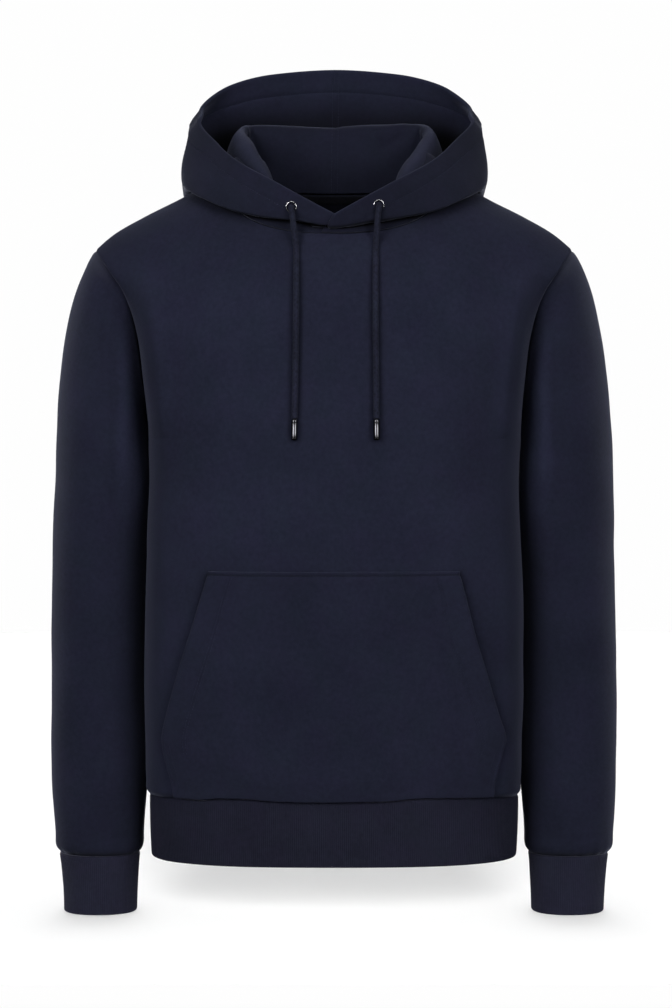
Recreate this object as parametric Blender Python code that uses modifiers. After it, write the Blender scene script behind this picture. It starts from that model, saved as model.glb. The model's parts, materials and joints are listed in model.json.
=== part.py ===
"""Pullover hoodie in the form it has when it is worn, hollow, with open neck, hem and cuffs.

Each cut piece is one closed wall of cloth: front, back, two sleeves, two cuffs, hem band, a
two-piece hood laid back on the shoulders, a kangaroo pocket and the tape inside the back neck.
Eyelets, drawcord ends and their metal tips are separate pieces.

Frame: +Z up, the front faces -Y, +X is the wearer's left.  The origin lies midway between the
two high shoulder points, on the line that rests on the wearer's shoulders.  Sizes are in
millimetres here and are turned into metres when a mesh is made.
"""

import math

import bmesh
import bpy
import numpy as np
from mathutils import Vector

MM = 0.001

# ---------------------------------------------------------------- sizes
CLOTH = 2.2              # brushed fleece of the body and sleeves
RIB = 2.6                # doubled rib of cuffs and hem band
HOOD_CLOTH = 3.0         # hood, two layers of fleece
POCKET_CLOTH = 2.0
TAPE_CLOTH = 0.9
SEAM = 0.3               # clear space between two pieces at a seam

HEM_SEAM_Z = -625.0      # body meets hem band
HEM_Z = -691.0           # folded lower edge of the hem band
UNDERARM_Z = -269.0      # lowest point of the armhole
TIP_X, TIP_Z = 243.0, -78.0      # shoulder tip, top of the armhole
RIDGE_Y = 3.0            # depth of the shoulder seam
ARMHOLE_FRONT, ARMHOLE_BACK = 68.0, 73.0     # how far the armhole reaches forward and back

NECK_X = 109.0           # high shoulder point
NECK_FRONT_DROP, NECK_BACK_DROP = 68.0, 15.0
NECK_SQUARE_X, NECK_SQUARE_Z = 2.3, 3.1      # how square the neckline is
NECK_SHARE = 0.42        # share of a panel's half width that ends on the neckline

CUFF_TOP_Z, CUFF_Z = -691.3, -751.0
OVERLAP = 12.0           # how far the hood's front ends pass the middle, at the neck seam

POCKET_TOP_Z, POCKET_CORNER_Z, POCKET_FOOT_Z = -398.0, -566.0, -621.0
POCKET_TOP_X, POCKET_CORNER_X, POCKET_FOOT_X = 121.0, 169.0, 156.0
POCKET_LIFT = 1.3        # pocket above the front panel
TAPE_WIDTH = 9.0

CORD_D = 5.8
EYELET_OUT, EYELET_IN, EYELET_H = 12.0, 7.4, 1.4
TIP_D, TIP_L = 6.8, 20.0     # metal tip of the drawcord
CORD_END_Z = -250.5

NECK_COLUMNS, SHOULDER_COLUMNS = 6, 5    # columns of a panel's half: to the neck, to the shoulder
SIDE_ROWS, ARMHOLE_ROWS = 7, 10          # rows below and beside the armhole
HOOD_ROWS = (4, 5, 5)                    # rows on the stand, the inner fold and the outer face

# Horizontal sections of the body: half width at the side seam, depth to front and back, and the
# exponent of the outline (2 is an ellipse, more is squarer).
BODY_COLUMNS = ("z", "side", "front", "back", "square")
BODY = (
    (-691.0, 185.0,  97.0,  96.0, 2.7),
    (-645.0, 186.8, 100.0,  99.0, 2.7),
    (-625.0, 187.0, 102.0, 100.0, 2.7),
    (-606.0, 190.2, 108.5, 105.0, 2.7),
    (-577.0, 190.8, 113.0, 108.0, 2.7),
    (-500.0, 192.6, 119.0, 112.0, 2.7),
    (-430.0, 191.6, 123.0, 115.0, 2.7),
    (-373.0, 189.6, 126.0, 117.0, 2.7),
    (-311.0, 188.0, 128.0, 118.0, 2.6),
    (-269.0, 189.0, 129.0, 118.0, 2.6),
    (-200.0, 189.0, 127.0, 115.0, 2.5),
    (-120.0, 189.0, 118.0, 105.0, 2.5),
    ( -60.0, 189.0, 110.0,  93.0, 2.4),
    (  20.0, 189.0, 104.0,  86.0, 2.4),
)

# Height of the ridge of the shoulders, carried on over the neck opening, and how far down the
# cloth takes to turn from lying on the shoulder to hanging, in front and behind.
SHOULDER_COLUMNS_T = ("x", "z", "turn_front", "turn_back")
SHOULDER = (
    (  0.0,  18.0, 150.0,  80.0),
    ( 60.0,  12.0, 150.0,  80.0),
    (109.0,   0.0, 146.0,  80.0),
    (130.0, -11.2, 138.0,  82.0),
    (162.0, -28.6, 124.0,  86.0),
    (194.0, -45.0, 112.0,  92.0),
    (223.0, -61.3, 103.0,  96.0),
    (243.0, -78.0, 100.0, 100.0),
)

# The armhole seen from the front.
ARMHOLE_COLUMNS = ("z", "x")
ARMHOLE = (
    (-269.0, 189.0),
    (-245.0, 189.4),
    (-213.0, 191.7),
    (-176.0, 195.4),
    (-150.0, 200.8),
    (-125.0, 210.0),
    (-100.0, 227.5),
    ( -78.0, 243.0),
)

# Sleeve sections, each through an outer and an inner point.  fore and aft are the reach in front
# of and behind the middle, keep is how much of the armhole's hollow curve is left.
SLEEVE_COLUMNS = ("out_x", "out_z", "in_x", "in_z", "middle", "fore", "aft", "keep", "square")
SLEEVE = (
    (249.5,  -87.5, 190.1, -266.8,  3.0, 68.0, 72.0, 0.85, 2.1),
    (256.5, -101.5, 191.3, -268.2,  3.0, 68.0, 71.0, 0.70, 2.1),
    (264.5, -123.0, 191.7, -277.0,  3.5, 68.0, 70.0, 0.48, 2.2),
    (271.5, -153.0, 191.3, -292.0,  4.0, 67.0, 69.0, 0.28, 2.2),
    (277.8, -196.0, 191.0, -315.0,  5.0, 66.0, 68.0, 0.10, 2.2),
    (282.3, -255.0, 191.4, -345.0,  6.0, 64.0, 66.0, 0.00, 2.2),
    (285.0, -330.0, 192.2, -385.0,  7.0, 60.0, 62.0, 0.00, 2.2),
    (287.2, -420.0, 194.2, -440.0,  8.0, 55.0, 58.0, 0.00, 2.2),
    (288.7, -520.0, 195.2, -520.0,  8.0, 50.0, 52.0, 0.00, 2.2),
    (288.0, -605.0, 193.6, -605.0,  7.0, 46.0, 47.0, 0.00, 2.2),
    (286.6, -655.0, 193.6, -655.0,  6.0, 43.0, 43.0, 0.00, 2.2),
    (285.0, -679.0, 194.6, -679.0,  6.0, 41.0, 41.0, 0.00, 2.2),
    (280.2, -691.0, 198.4, -691.0,  6.0, 36.5, 36.5, 0.00, 2.2),
)

# The cuff carries on from the sleeve's last section.
CUFF_COLUMNS = ("z", "out_x", "in_x", "half_depth")
CUFF = (
    (-691.3, 280.2, 198.4, 36.5),
    (-705.0, 278.2, 199.6, 35.2),
    (-751.0, 275.4, 201.6, 33.5),
)

# Hood, one row for each line that runs from the neck seam over the stand's top (ridge), down to
# the lowest part of the fold, and up to the face edge (rim).  at is the place on the neckline:
# 0 middle front, 1 high shoulder point, 2 middle back.  out is the compass angle of the fold,
# from the front; over and under say how round the ridge and the fold are.
HOOD_COLUMNS = ("at", "ridge_x", "ridge_y", "ridge_z", "fold_x", "fold_y", "fold_z",
                "rim_x", "rim_y", "rim_z", "out", "over", "under")
HOOD = (
    (0.00,   0.0, -95.5, -61.0,   0.0,  -98.5, -58.0,   0.0, -100.0, -49.0,   0.0,  2.0,  3.0),
    (0.25,  46.0, -89.0, -52.0,  50.0,  -95.5, -54.5,  52.0,  -84.0, -18.0,  20.0,  6.0,  7.0),
    (0.50,  60.0, -68.0, -25.0,  95.0,  -85.0, -46.0,  93.0,  -54.0,   7.5,  42.0, 30.0, 22.0),
    (0.75,  73.0, -35.0,   2.0, 128.0,  -62.0, -32.0, 122.0,  -24.0,  31.0,  66.0, 60.0, 40.0),
    (1.00,  88.0,   8.0,  29.0, 149.0,   -6.0, -18.0, 148.5,   18.0,  59.0,  88.0, 70.0, 50.0),
    (1.25,  97.0,  42.0,  45.0, 147.0,   52.0, -34.0, 148.5,   47.0,  72.0, 108.0, 66.0, 60.0),
    (1.50,  92.0,  65.0,  54.0, 126.0,   98.0, -64.0, 122.5,   90.0,  98.5, 132.0, 60.0, 72.0),
    (1.75,  52.0,  78.0,  55.0,  68.0,  121.0, -88.0,  68.0,  112.0, 116.5, 158.0, 60.0, 80.0),
    (2.00,   0.0,  81.0,  55.0,   0.0,  128.0, -97.0,   0.0,  117.0, 122.0, 180.0, 60.0, 80.0),
)

# Route of a drawcord below its eyelet: height, and distance from the middle on each side.
CORD_COLUMNS = ("z", "x_right", "x_left")
CORD = (
    ( -80.0, -37.2, 41.0),
    (-110.0, -36.6, 40.4),
    (-160.0, -36.9, 40.4),
    (-205.0, -37.4, 40.8),
    (-250.5, -38.2, 41.2),
)

COLOURS = {
    "fleece": ((0.0150, 0.0170, 0.0325, 1.0), 0.92, 0.0),
    "rib": ((0.0140, 0.0150, 0.0290, 1.0), 0.90, 0.0),
    "tape": ((0.0120, 0.0130, 0.0200, 1.0), 0.85, 0.0),
    "cord": ((0.0135, 0.0150, 0.0280, 1.0), 0.80, 0.0),
    "nickel": ((0.56, 0.56, 0.58, 1.0), 0.22, 1.0),
    "gunmetal": ((0.16, 0.16, 0.17, 1.0), 0.25, 1.0),
}


# ---------------------------------------------------------------- tables
def slopes(xs, ys):
    """Slopes of a cubic that passes through the rows without overshooting them."""
    h = np.diff(xs)
    d = np.diff(ys) / h
    m = np.zeros(len(xs))
    for i in range(1, len(xs) - 1):
        if d[i - 1] * d[i] > 0:
            w1, w2 = 2 * h[i] + h[i - 1], h[i] + 2 * h[i - 1]
            m[i] = (w1 + w2) / (w1 / d[i - 1] + w2 / d[i])
    for end, a, b in ((0, 0, 1), (-1, -1, -2)):
        m[end] = ((2 * h[a] + h[b]) * d[a] - h[a] * d[b]) / (h[a] + h[b])
        if m[end] * d[a] <= 0:
            m[end] = 0.0
        elif d[a] * d[b] <= 0 and abs(m[end]) > 3 * abs(d[a]):
            m[end] = 3 * d[a]
    return m


class Table:
    """Rows with named columns, read smoothly between rows along the first column."""

    def __init__(self, names, rows, mirror_end=()):
        data = np.array(rows, float)
        if mirror_end:
            # carry the rows on past the last one, turned over at the middle
            back = data[-2:-4:-1].copy()
            back[:, 0] = 2 * data[-1, 0] - back[:, 0]
            for name in mirror_end:
                back[:, names.index(name)] *= -1
            data = np.vstack([data, back])
        self.names, self.x = names, data[:, 0]
        self.y = {n: data[:, i] for i, n in enumerate(names)}
        self.m = {n: slopes(self.x, self.y[n]) for n in names}

    def at(self, name, x):
        x = min(max(x, self.x[0]), self.x[-1])
        i = min(max(int(np.searchsorted(self.x, x)) - 1, 0), len(self.x) - 2)
        h = self.x[i + 1] - self.x[i]
        t = (x - self.x[i]) / h
        y, m = self.y[name], self.m[name]
        return (y[i] * (1 + 2 * t) * (1 - t) ** 2 + y[i + 1] * t * t * (3 - 2 * t)
                + h * (m[i] * t * (1 - t) ** 2 + m[i + 1] * t * t * (t - 1)))


body = Table(BODY_COLUMNS, BODY)
shoulder = Table(SHOULDER_COLUMNS_T, SHOULDER)
armhole = Table(ARMHOLE_COLUMNS, ARMHOLE)
hood = Table(HOOD_COLUMNS, HOOD, mirror_end=("ridge_x", "fold_x", "rim_x"))


def lerp(a, b, t):
    return a + (b - a) * t


def unit(v):
    v = np.asarray(v, float)
    return v / max(np.linalg.norm(v), 1e-9)


# ---------------------------------------------------------------- body
def neck_edge(face, nu):
    """A point of the half neckline in front view; nu runs from the middle to the shoulder."""
    drop = NECK_FRONT_DROP if face < 0 else NECK_BACK_DROP
    th = nu * math.pi / 2
    return (NECK_X * math.sin(th) ** (2 / NECK_SQUARE_X),
            -drop * max(math.cos(th), 0.0) ** (2 / NECK_SQUARE_Z))


def surface_y(face, x, z, reach):
    """Depth of the body's cloth at (x, z); reach is where the section would close at the side."""
    name = "front" if face < 0 else "back"
    n = body.at("square", z)
    flat = face * body.at(name, z) * max(1 - (x / reach) ** n, 0.0) ** (1 / n)
    turn = shoulder.at("turn_" + name, x)
    down = shoulder.at("z", x) - z
    if down >= turn:
        return flat
    share = math.sqrt(max(1 - ((turn - max(down, 0.0)) / turn) ** 2, 0.0))
    return RIDGE_Y + (flat - RIDGE_Y) * share


def reach_at(face, psi):
    """Half width of the closed section that passes through the armhole's edge."""
    z = edge_z(psi)
    x = armhole.at("x", z)
    name = "front" if face < 0 else "back"
    n = body.at("square", z)
    deep = (ARMHOLE_FRONT if face < 0 else ARMHOLE_BACK) * math.sin(min(psi, math.pi / 2))
    return x / (1 - (deep / body.at(name, z)) ** n) ** (1 / n)


def edge_z(psi):
    return lerp(UNDERARM_Z, TIP_Z, (1 - math.cos(psi)) / 2)


NECK_ARC = {}
for _face in (-1, 1):
    # the neckline by its own length, so that columns are spaced evenly along it
    _pts = []
    for _k in range(241):
        _x, _z = neck_edge(_face, _k / 240)
        _pts.append((_x, surface_y(_face, _x, _z, reach_at(_face, math.pi)), _z))
    _len = np.concatenate([[0], np.cumsum(np.linalg.norm(np.diff(_pts, axis=0), axis=1))])
    NECK_ARC[_face] = (_len / _len[-1], np.linspace(0, 1, 241), _len[-1])


def neck_point(face, share):
    """A point of the half neckline by its share of the length from the middle."""
    share = min(max(share, 0.0), 1.0)
    x, z = neck_edge(face, float(np.interp(share, NECK_ARC[face][0], NECK_ARC[face][1])))
    if share >= 1.0:
        x, z = NECK_X, 0.0
    return x, z


def body_point(face, v, s):
    """A point of the front (-1) or back (+1).  v: 0 hem seam, 1 underarm, 2 shoulder and neck.
    s: 0 middle, 1 side seam or armhole; its sign is the side."""
    side, s = (-1 if s < 0 else 1), abs(s)
    if v <= 1:
        z = lerp(HEM_SEAM_Z, UNDERARM_Z, v)
        n = body.at("square", z)
        g = math.sin(s * math.pi / 2) ** (2 / n)
        a = body.at("side", z)
        name = "front" if face < 0 else "back"
        y = 0.0 if s >= 1 else face * body.at(name, z) * (1 - g ** n) ** (1 / n)
        return np.array((side * a * g, y, z))
    psi = (v - 1) * math.pi
    eta = (1 - math.cos(psi)) / 2
    if s <= NECK_SHARE:
        top_x, top_z = neck_point(face, s / NECK_SHARE)
    else:
        top_x = lerp(NECK_X, TIP_X, (s - NECK_SHARE) / (1 - NECK_SHARE))
        top_z = shoulder.at("z", top_x)
    z = lerp(UNDERARM_Z, top_z, eta)
    n = body.at("square", UNDERARM_Z)
    low_x, up = armhole.at("x", UNDERARM_Z), eta * eta
    x = lerp(low_x * math.sin(s * math.pi / 2) ** (2 / n), top_x, up)
    x += (armhole.at("x", edge_z(psi)) - lerp(low_x, TIP_X, up)) * s ** 3
    if s >= 1 and v >= 2:
        x, z = TIP_X, TIP_Z
    y = surface_y(face, x, z, reach_at(face, psi))
    if s >= NECK_SHARE - 1e-9 and v >= 2:
        y = RIDGE_Y
    return np.array((side * x, y, z))


def body_steps():
    cols = [NECK_SHARE * k / NECK_COLUMNS for k in range(NECK_COLUMNS)]
    cols += [lerp(NECK_SHARE, 1, k / SHOULDER_COLUMNS) for k in range(SHOULDER_COLUMNS + 1)]
    rows = [k / SIDE_ROWS for k in range(SIDE_ROWS)]
    rows += [1 + k / ARMHOLE_ROWS for k in range(ARMHOLE_ROWS + 1)]
    return rows, [-c for c in cols[:0:-1]] + cols


def grid_normals(grid, outward):
    """Unit normals of a grid of points from its neighbours, turned towards outward(point)."""
    g = np.asarray(grid)
    du = np.gradient(g, axis=1)
    dv = np.gradient(g, axis=0)
    n = np.cross(du, dv)
    n /= np.maximum(np.linalg.norm(n, axis=2, keepdims=True), 1e-9)
    mid = tuple(k // 2 for k in n.shape[:2])
    if np.dot(n[mid], outward(g[mid])) < 0:
        n = -n
    return n


def body_panel(face):
    """Outer skin and normals of the front or back, on its grid of rows and columns."""
    rows, cols = body_steps()
    grid = np.array([[body_point(face, v, s) for s in cols] for v in rows])
    normal = grid_normals(grid, lambda p: (0, face, 0))
    for i, v in enumerate(rows):
        for j, s in enumerate(cols):
            on_side = abs(s) >= 1 and v <= 1
            on_shoulder = v >= 2 and abs(s) >= NECK_SHARE - 1e-9
            if on_side or on_shoulder:
                # both panels share this edge, so its normal lies in the plane between them
                normal[i, j, 1] = 0
                normal[i, j] = unit(normal[i, j])
    return rows, cols, grid, normal


# ---------------------------------------------------------------- sleeves
def armhole_ring(panels):
    """The armhole as a ring on the +X side: tip, down the front, underarm, up the back."""
    ring, normal = [], []
    for face, order in ((-1, range(ARMHOLE_ROWS, -1, -1)), (1, range(1, ARMHOLE_ROWS))):
        rows, cols, grid, nor = panels[face]
        for k in order:
            ring.append(grid[SIDE_ROWS + k][-1])
            normal.append(nor[SIDE_ROWS + k][-1])
    return np.array(ring), np.array(normal)


def section(row, names, count):
    """One closed section through an outer and an inner point, count points from the outer."""
    r = dict(zip(names, row))
    out = np.array((r["out_x"], r["out_z"]))
    inn = np.array((r["in_x"], r["in_z"]))
    mid, arm = (out + inn) / 2, (out - inn) / 2
    pts = []
    for k in range(count):
        a = 2 * math.pi * k / count
        c, s = math.cos(a), math.sin(a)
        e = 2 / r["square"]
        ce = math.copysign(abs(c) ** e, c)
        se = abs(s) ** e
        x, z = mid + arm * ce
        hollow = ARMHOLE_HOLLOW[k] if r["keep"] else 0.0
        y = r["middle"] + (-r["fore"] if s > 0 else r["aft"]) * se
        pts.append((x + hollow * r["keep"], y, z))
    return pts


def sleeve_skins(panels):
    ring, normal = armhole_ring(panels)
    count = len(ring)
    along = np.roll(ring, -1, axis=0) - np.roll(ring, 1, axis=0)
    away = np.cross(normal, along)
    away /= np.linalg.norm(away, axis=1, keepdims=True)
    start = ring + away * (SEAM + 0.15)
    # how far the armhole's edge lies inside the straight line from tip to underarm
    global ARMHOLE_HOLLOW
    share = (ring[:, 2] - UNDERARM_Z) / (TIP_Z - UNDERARM_Z)
    ARMHOLE_HOLLOW = ring[:, 0] - lerp(armhole.at("x", UNDERARM_Z), TIP_X, share)
    skins = [start] + [np.array(section(row, SLEEVE_COLUMNS, count)) for row in SLEEVE]
    grid = np.array(skins)
    nor = ring_normals(grid)
    nor[0] = normal
    nor[-1, :, 2] = 0
    nor[-1] /= np.linalg.norm(nor[-1], axis=1, keepdims=True)
    return grid, nor


def ring_normals(grid):
    """Normals of a tube made of closed rings."""
    du = np.roll(grid, -1, axis=1) - np.roll(grid, 1, axis=1)
    dv = np.gradient(grid, axis=0)
    n = np.cross(du, dv)
    n /= np.maximum(np.linalg.norm(n, axis=2, keepdims=True), 1e-9)
    mid = grid.shape[0] // 2
    centre = grid[mid].mean(axis=0)
    if np.dot(n[mid, 0], grid[mid, 0] - centre) < 0:
        n = -n
    return n


def cuff_skins(sleeve_end, end_normal):
    """Rings of the cuff; the first has the points of the sleeve's end."""
    count = len(sleeve_end)
    cuff = [dict(zip(CUFF_COLUMNS, row)) for row in CUFF]
    rings = []
    for r in cuff:
        mid = (r["out_x"] + r["in_x"]) / 2
        half = (r["out_x"] - r["in_x"]) / 2
        first = cuff[0]
        mid0 = (first["out_x"] + first["in_x"]) / 2
        half0 = (first["out_x"] - first["in_x"]) / 2
        ring = []
        for p in sleeve_end:
            ring.append((mid + (p[0] - mid0) * half / half0,
                         6.0 + (p[1] - 6.0) * r["half_depth"] / first["half_depth"], r["z"]))
        rings.append(ring)
    grid = np.array(rings)
    nor = ring_normals(grid)
    nor[:, :, 2] = 0
    nor /= np.linalg.norm(nor, axis=2, keepdims=True)
    nor[0] = end_normal
    return grid, nor


# ---------------------------------------------------------------- hood
def neck_3d(at):
    """The neck seam as a point in space; at runs 0 front, 1 shoulder, 2 back."""
    face, share = (-1, at) if at <= 1 else (1, 2 - at)
    x, z = neck_point(face, share)
    y = RIDGE_Y if share >= 1 else surface_y(face, x, z, reach_at(face, math.pi))
    return np.array((x, y, z))


def hood_line(at):
    """The four leading points of one hood line with their directions."""
    n = neck_3d(at)
    get = lambda c: hood.at(c, at)
    ridge = np.array([get("ridge_x"), get("ridge_y"), get("ridge_z")])
    fold = np.array([get("fold_x"), get("fold_y"), get("fold_z")])
    rim = np.array([get("rim_x"), get("rim_y"), get("rim_z")])
    a = math.radians(get("out"))
    out = np.array((math.sin(a), -math.cos(a), 0.0))
    rise = np.array((0, 0, 1.0)) * np.linalg.norm(ridge - n)
    return ((n, lerp(ridge - n, rise, 0.8)), (ridge, out * get("over")),
            (fold, out * get("under")), (rim, (rim - fold) * 0.7))


def hood_point(at, m):
    """m runs 0 neck seam, 1 ridge, 2 fold, 3 rim."""
    line = hood_line(at)
    k = min(int(m), 2)
    t = m - k
    (p, tp), (q, tq) = line[k], line[k + 1]
    return (p * (1 + 2 * t) * (1 - t) ** 2 + q * t * t * (3 - 2 * t)
            + tp * t * (1 - t) ** 2 + tq * t * t * (t - 1))


def hood_rows():
    rows = []
    for k, n in enumerate(HOOD_ROWS):
        rows += [k + i / n for i in range(n)]
    return rows + [3.0]


def hood_skins(on_top):
    """One hood half on the +X side.  on_top is the one whose front end shows."""
    ats = [k / NECK_COLUMNS for k in range(2 * NECK_COLUMNS + 1)]
    rows = hood_rows()
    grid = np.array([[hood_point(at, m) for at in ats] for m in rows])
    # the front end, carried past the middle, slants from the rim to the neck seam
    ends = []
    for i, m in enumerate(rows):
        height = (grid[i][0][2] - grid[0][0][2]) / (grid[-1][0][2] - grid[0][0][2])
        p = grid[i][0].copy()
        reach = OVERLAP * (1 - height) + 0.6
        first = grid[i][1] - grid[i][0]
        p += np.array((-1, first[1] / max(first[0], 1), min(first[2] / max(first[0], 1), 0.0)
                       if m > 1 else first[2] / max(first[0], 1))) * reach
        ends.append(p)
    grid = np.concatenate([np.array(ends)[:, None], grid], axis=1)
    nor = grid_normals(grid, lambda p: (0, 0, 0))
    # outside of the cloth: away from the neck on the stand
    k = len(ats) // 2
    if nor[1][k][0] < 0:
        nor = -nor
    nor[:, 0] = nor[:, 1]
    # the two halves lie one on the other at the front, and side by side at the back
    for j in range(grid.shape[1]):
        share = max(0.0, 1 - max(j - 1, 0) / 2.0)
        step = (HOOD_CLOTH / 2 + 0.4) * share
        grid[:, j] += nor[:, j] * (step if on_top else -step)
    # clear of the neckline by the seam's gap
    lead = grid[1] - grid[0]
    lead /= np.linalg.norm(lead, axis=1, keepdims=True)
    grid[0] += lead * (SEAM + 0.9)
    # the seam down the middle of the back
    grid[:, -1, 0] = SEAM / 2
    nor[:, -1, 0] = 0
    nor[:, -1] /= np.linalg.norm(nor[:, -1], axis=1, keepdims=True)
    return grid, nor


# ---------------------------------------------------------------- meshes
collection = None


def new_object(name, mesh, slot):
    obj = bpy.data.objects.new(name, mesh)
    collection.objects.link(obj)
    mesh.materials.append(bpy.data.materials[slot])
    return obj


def wall(name, outer, inner, slot, ring=False, mirror=False, even=False):
    """A closed wall between two skins given on the same grid; ring joins its last column to
    its first.  An even piece has the same facets on both sides of its middle column."""
    outer, inner = np.asarray(outer), np.asarray(inner)
    if mirror:
        outer, inner = outer * (-1, 1, 1), inner * (-1, 1, 1)
    rows, cols = outer.shape[:2]
    bm = bmesh.new()
    skin = [[[bm.verts.new(Vector(p * MM)) for p in row] for row in s] for s in (outer, inner)]

    def quad(a, b, c, d, j):
        if even and j < (cols - 1) // 2:
            a, b, c, d = b, c, d, a
        bm.faces.new((a, b, c))
        bm.faces.new((a, c, d))

    wrap = cols if ring else cols - 1
    for j in range(wrap):
        k = (j + 1) % cols
        for i in range(rows - 1):
            for s in skin:
                quad(s[i][j], s[i][k], s[i + 1][k], s[i + 1][j], j)
        for i in (0, rows - 1):
            quad(skin[0][i][j], skin[0][i][k], skin[1][i][k], skin[1][i][j], j)
    if not ring:
        for i in range(rows - 1):
            for j in (0, cols - 1):
                quad(skin[0][i][j], skin[1][i][j], skin[1][i + 1][j], skin[0][i + 1][j], cols)
    bmesh.ops.recalc_face_normals(bm, faces=bm.faces)
    if bm.calc_volume(signed=True) < 0:
        bmesh.ops.reverse_faces(bm, faces=bm.faces)
    mesh = bpy.data.meshes.new(name)
    bm.to_mesh(mesh)
    bm.free()
    mesh.shade_smooth()
    mesh.set_sharp_from_angle(angle=math.radians(50))
    return new_object(name, mesh, slot)


def turned(name, profile, slot, origin, axis, steps):
    """A turned piece: its profile (radius, height) in mm, spun about its axis."""
    mesh = bpy.data.meshes.new(name)
    bm = bmesh.new()
    vs = [bm.verts.new((r * MM, 0, h * MM)) for r, h in profile]
    for a, b in zip(vs, vs[1:]):
        bm.edges.new((a, b))
    if abs(profile[0][0]) > 1e-6:
        bm.edges.new((vs[-1], vs[0]))
    bm.to_mesh(mesh)
    bm.free()
    obj = new_object(name, mesh, slot)
    screw = obj.modifiers.new("turn", "SCREW")
    screw.steps = screw.render_steps = steps
    screw.use_merge_vertices = True
    screw.merge_threshold = 0.00001
    obj.location = Vector(origin) * MM
    obj.rotation_euler = Vector(axis).to_track_quat("Z", "Y").to_euler()
    return obj


def tube(name, points, diameter, slot):
    """A cord: a straight-segment curve with a round bevel and filled ends."""
    curve = bpy.data.curves.new(name, "CURVE")
    curve.dimensions = "3D"
    spline = curve.splines.new("POLY")
    spline.points.add(len(points) - 1)
    for sp, p in zip(spline.points, points):
        sp.co = (*(Vector(p) * MM), 1)
    curve.bevel_depth = diameter / 2 * MM
    curve.bevel_resolution = 2
    curve.use_fill_caps = True
    obj = bpy.data.objects.new(name, curve)
    collection.objects.link(obj)
    curve.materials.append(bpy.data.materials[slot])
    return obj


def through(points, count):
    """Evenly spaced points on a smooth curve through the given ones."""
    p = np.array(points, float)
    d = np.concatenate([[0], np.cumsum(np.linalg.norm(np.diff(p, axis=0), axis=1) ** 0.5)])
    t = np.gradient(p, d, axis=0)
    fine = []
    for i in range(len(p) - 1):
        h = d[i + 1] - d[i]
        for k in range(24):
            u = k / 24
            fine.append(p[i] * (1 + 2 * u) * (1 - u) ** 2 + p[i + 1] * u * u * (3 - 2 * u)
                        + h * (t[i] * u * (1 - u) ** 2 + t[i + 1] * u * u * (u - 1)))
    fine = np.array(fine + [p[-1]])
    run = np.concatenate([[0], np.cumsum(np.linalg.norm(np.diff(fine, axis=0), axis=1))])
    want = np.linspace(0, run[-1], count)
    return np.array([[np.interp(w, run, fine[:, c]) for c in range(3)] for w in want]), run[-1]


# ---------------------------------------------------------------- pieces
def make_materials():
    for name, (colour, rough, metal) in COLOURS.items():
        mat = bpy.data.materials.new(name)
        mat.use_nodes = True
        bsdf = mat.node_tree.nodes["Principled BSDF"]
        bsdf.inputs["Base Color"].default_value = colour
        bsdf.inputs["Roughness"].default_value = rough
        bsdf.inputs["Metallic"].default_value = metal


def make_body(panels):
    for face, name in ((-1, "front_body"), (1, "back_body")):
        rows, cols, grid, normal = panels[face]
        outer = grid.copy()
        inner = grid - normal * CLOTH
        for skin in (outer, inner):
            for i, v in enumerate(rows):
                if v <= 1:                       # side seams
                    for j in (0, -1):
                        skin[i, j, 1] = face * SEAM / 2
                if v >= 2:                       # shoulder seams
                    for j, s in enumerate(cols):
                        if abs(s) >= NECK_SHARE - 1e-9:
                            skin[i, j, 1] = RIDGE_Y + face * SEAM / 2
            skin[0, :, 2] = HEM_SEAM_Z + SEAM / 2
        wall(name, outer, inner, "fleece", even=True)


def make_hem(panels):
    """The hem band: its top has the points of the body's lower edge."""
    front, back = panels[-1][2][0], panels[1][2][0]
    top = np.array(list(front) + list(back[::-1][1:-1]))
    rings, nors = [], []
    for z in (HEM_SEAM_Z - SEAM / 2, -645.0, -668.0, HEM_Z):
        ring = []
        for p in top:
            name = "front" if p[1] <= 0 else "back"
            a = body.at("side", z) / body.at("side", HEM_SEAM_Z)
            b = body.at(name, z) / body.at(name, HEM_SEAM_Z)
            ring.append((p[0] * a, p[1] * b, z))
        rings.append(ring)
    grid = np.array(rings)
    nor = ring_normals(grid)
    nor[:, :, 2] = 0
    nor /= np.linalg.norm(nor, axis=2, keepdims=True)
    wall("hem_band", grid, grid - nor * RIB, "rib", ring=True)


def make_sleeves(panels):
    grid, nor = sleeve_skins(panels)
    end = grid[-1].copy()
    grid[-1, :, 2] += SEAM / 2
    cuff_grid, cuff_nor = cuff_skins(end, nor[-1])
    for side, mirror in (("left", False), ("right", True)):
        wall("sleeve_" + side, grid, grid - nor * CLOTH, "fleece", ring=True, mirror=mirror)
        wall("cuff_" + side, cuff_grid, cuff_grid - cuff_nor * RIB, "rib", ring=True,
             mirror=mirror)


def make_hood():
    for side, mirror in (("left", False), ("right", True)):
        grid, nor = hood_skins(on_top=not mirror)
        inner = grid - nor * HOOD_CLOTH
        inner[:, -1, 0] = SEAM / 2
        wall("hood_" + side, grid, inner, "fleece", mirror=mirror)


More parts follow.
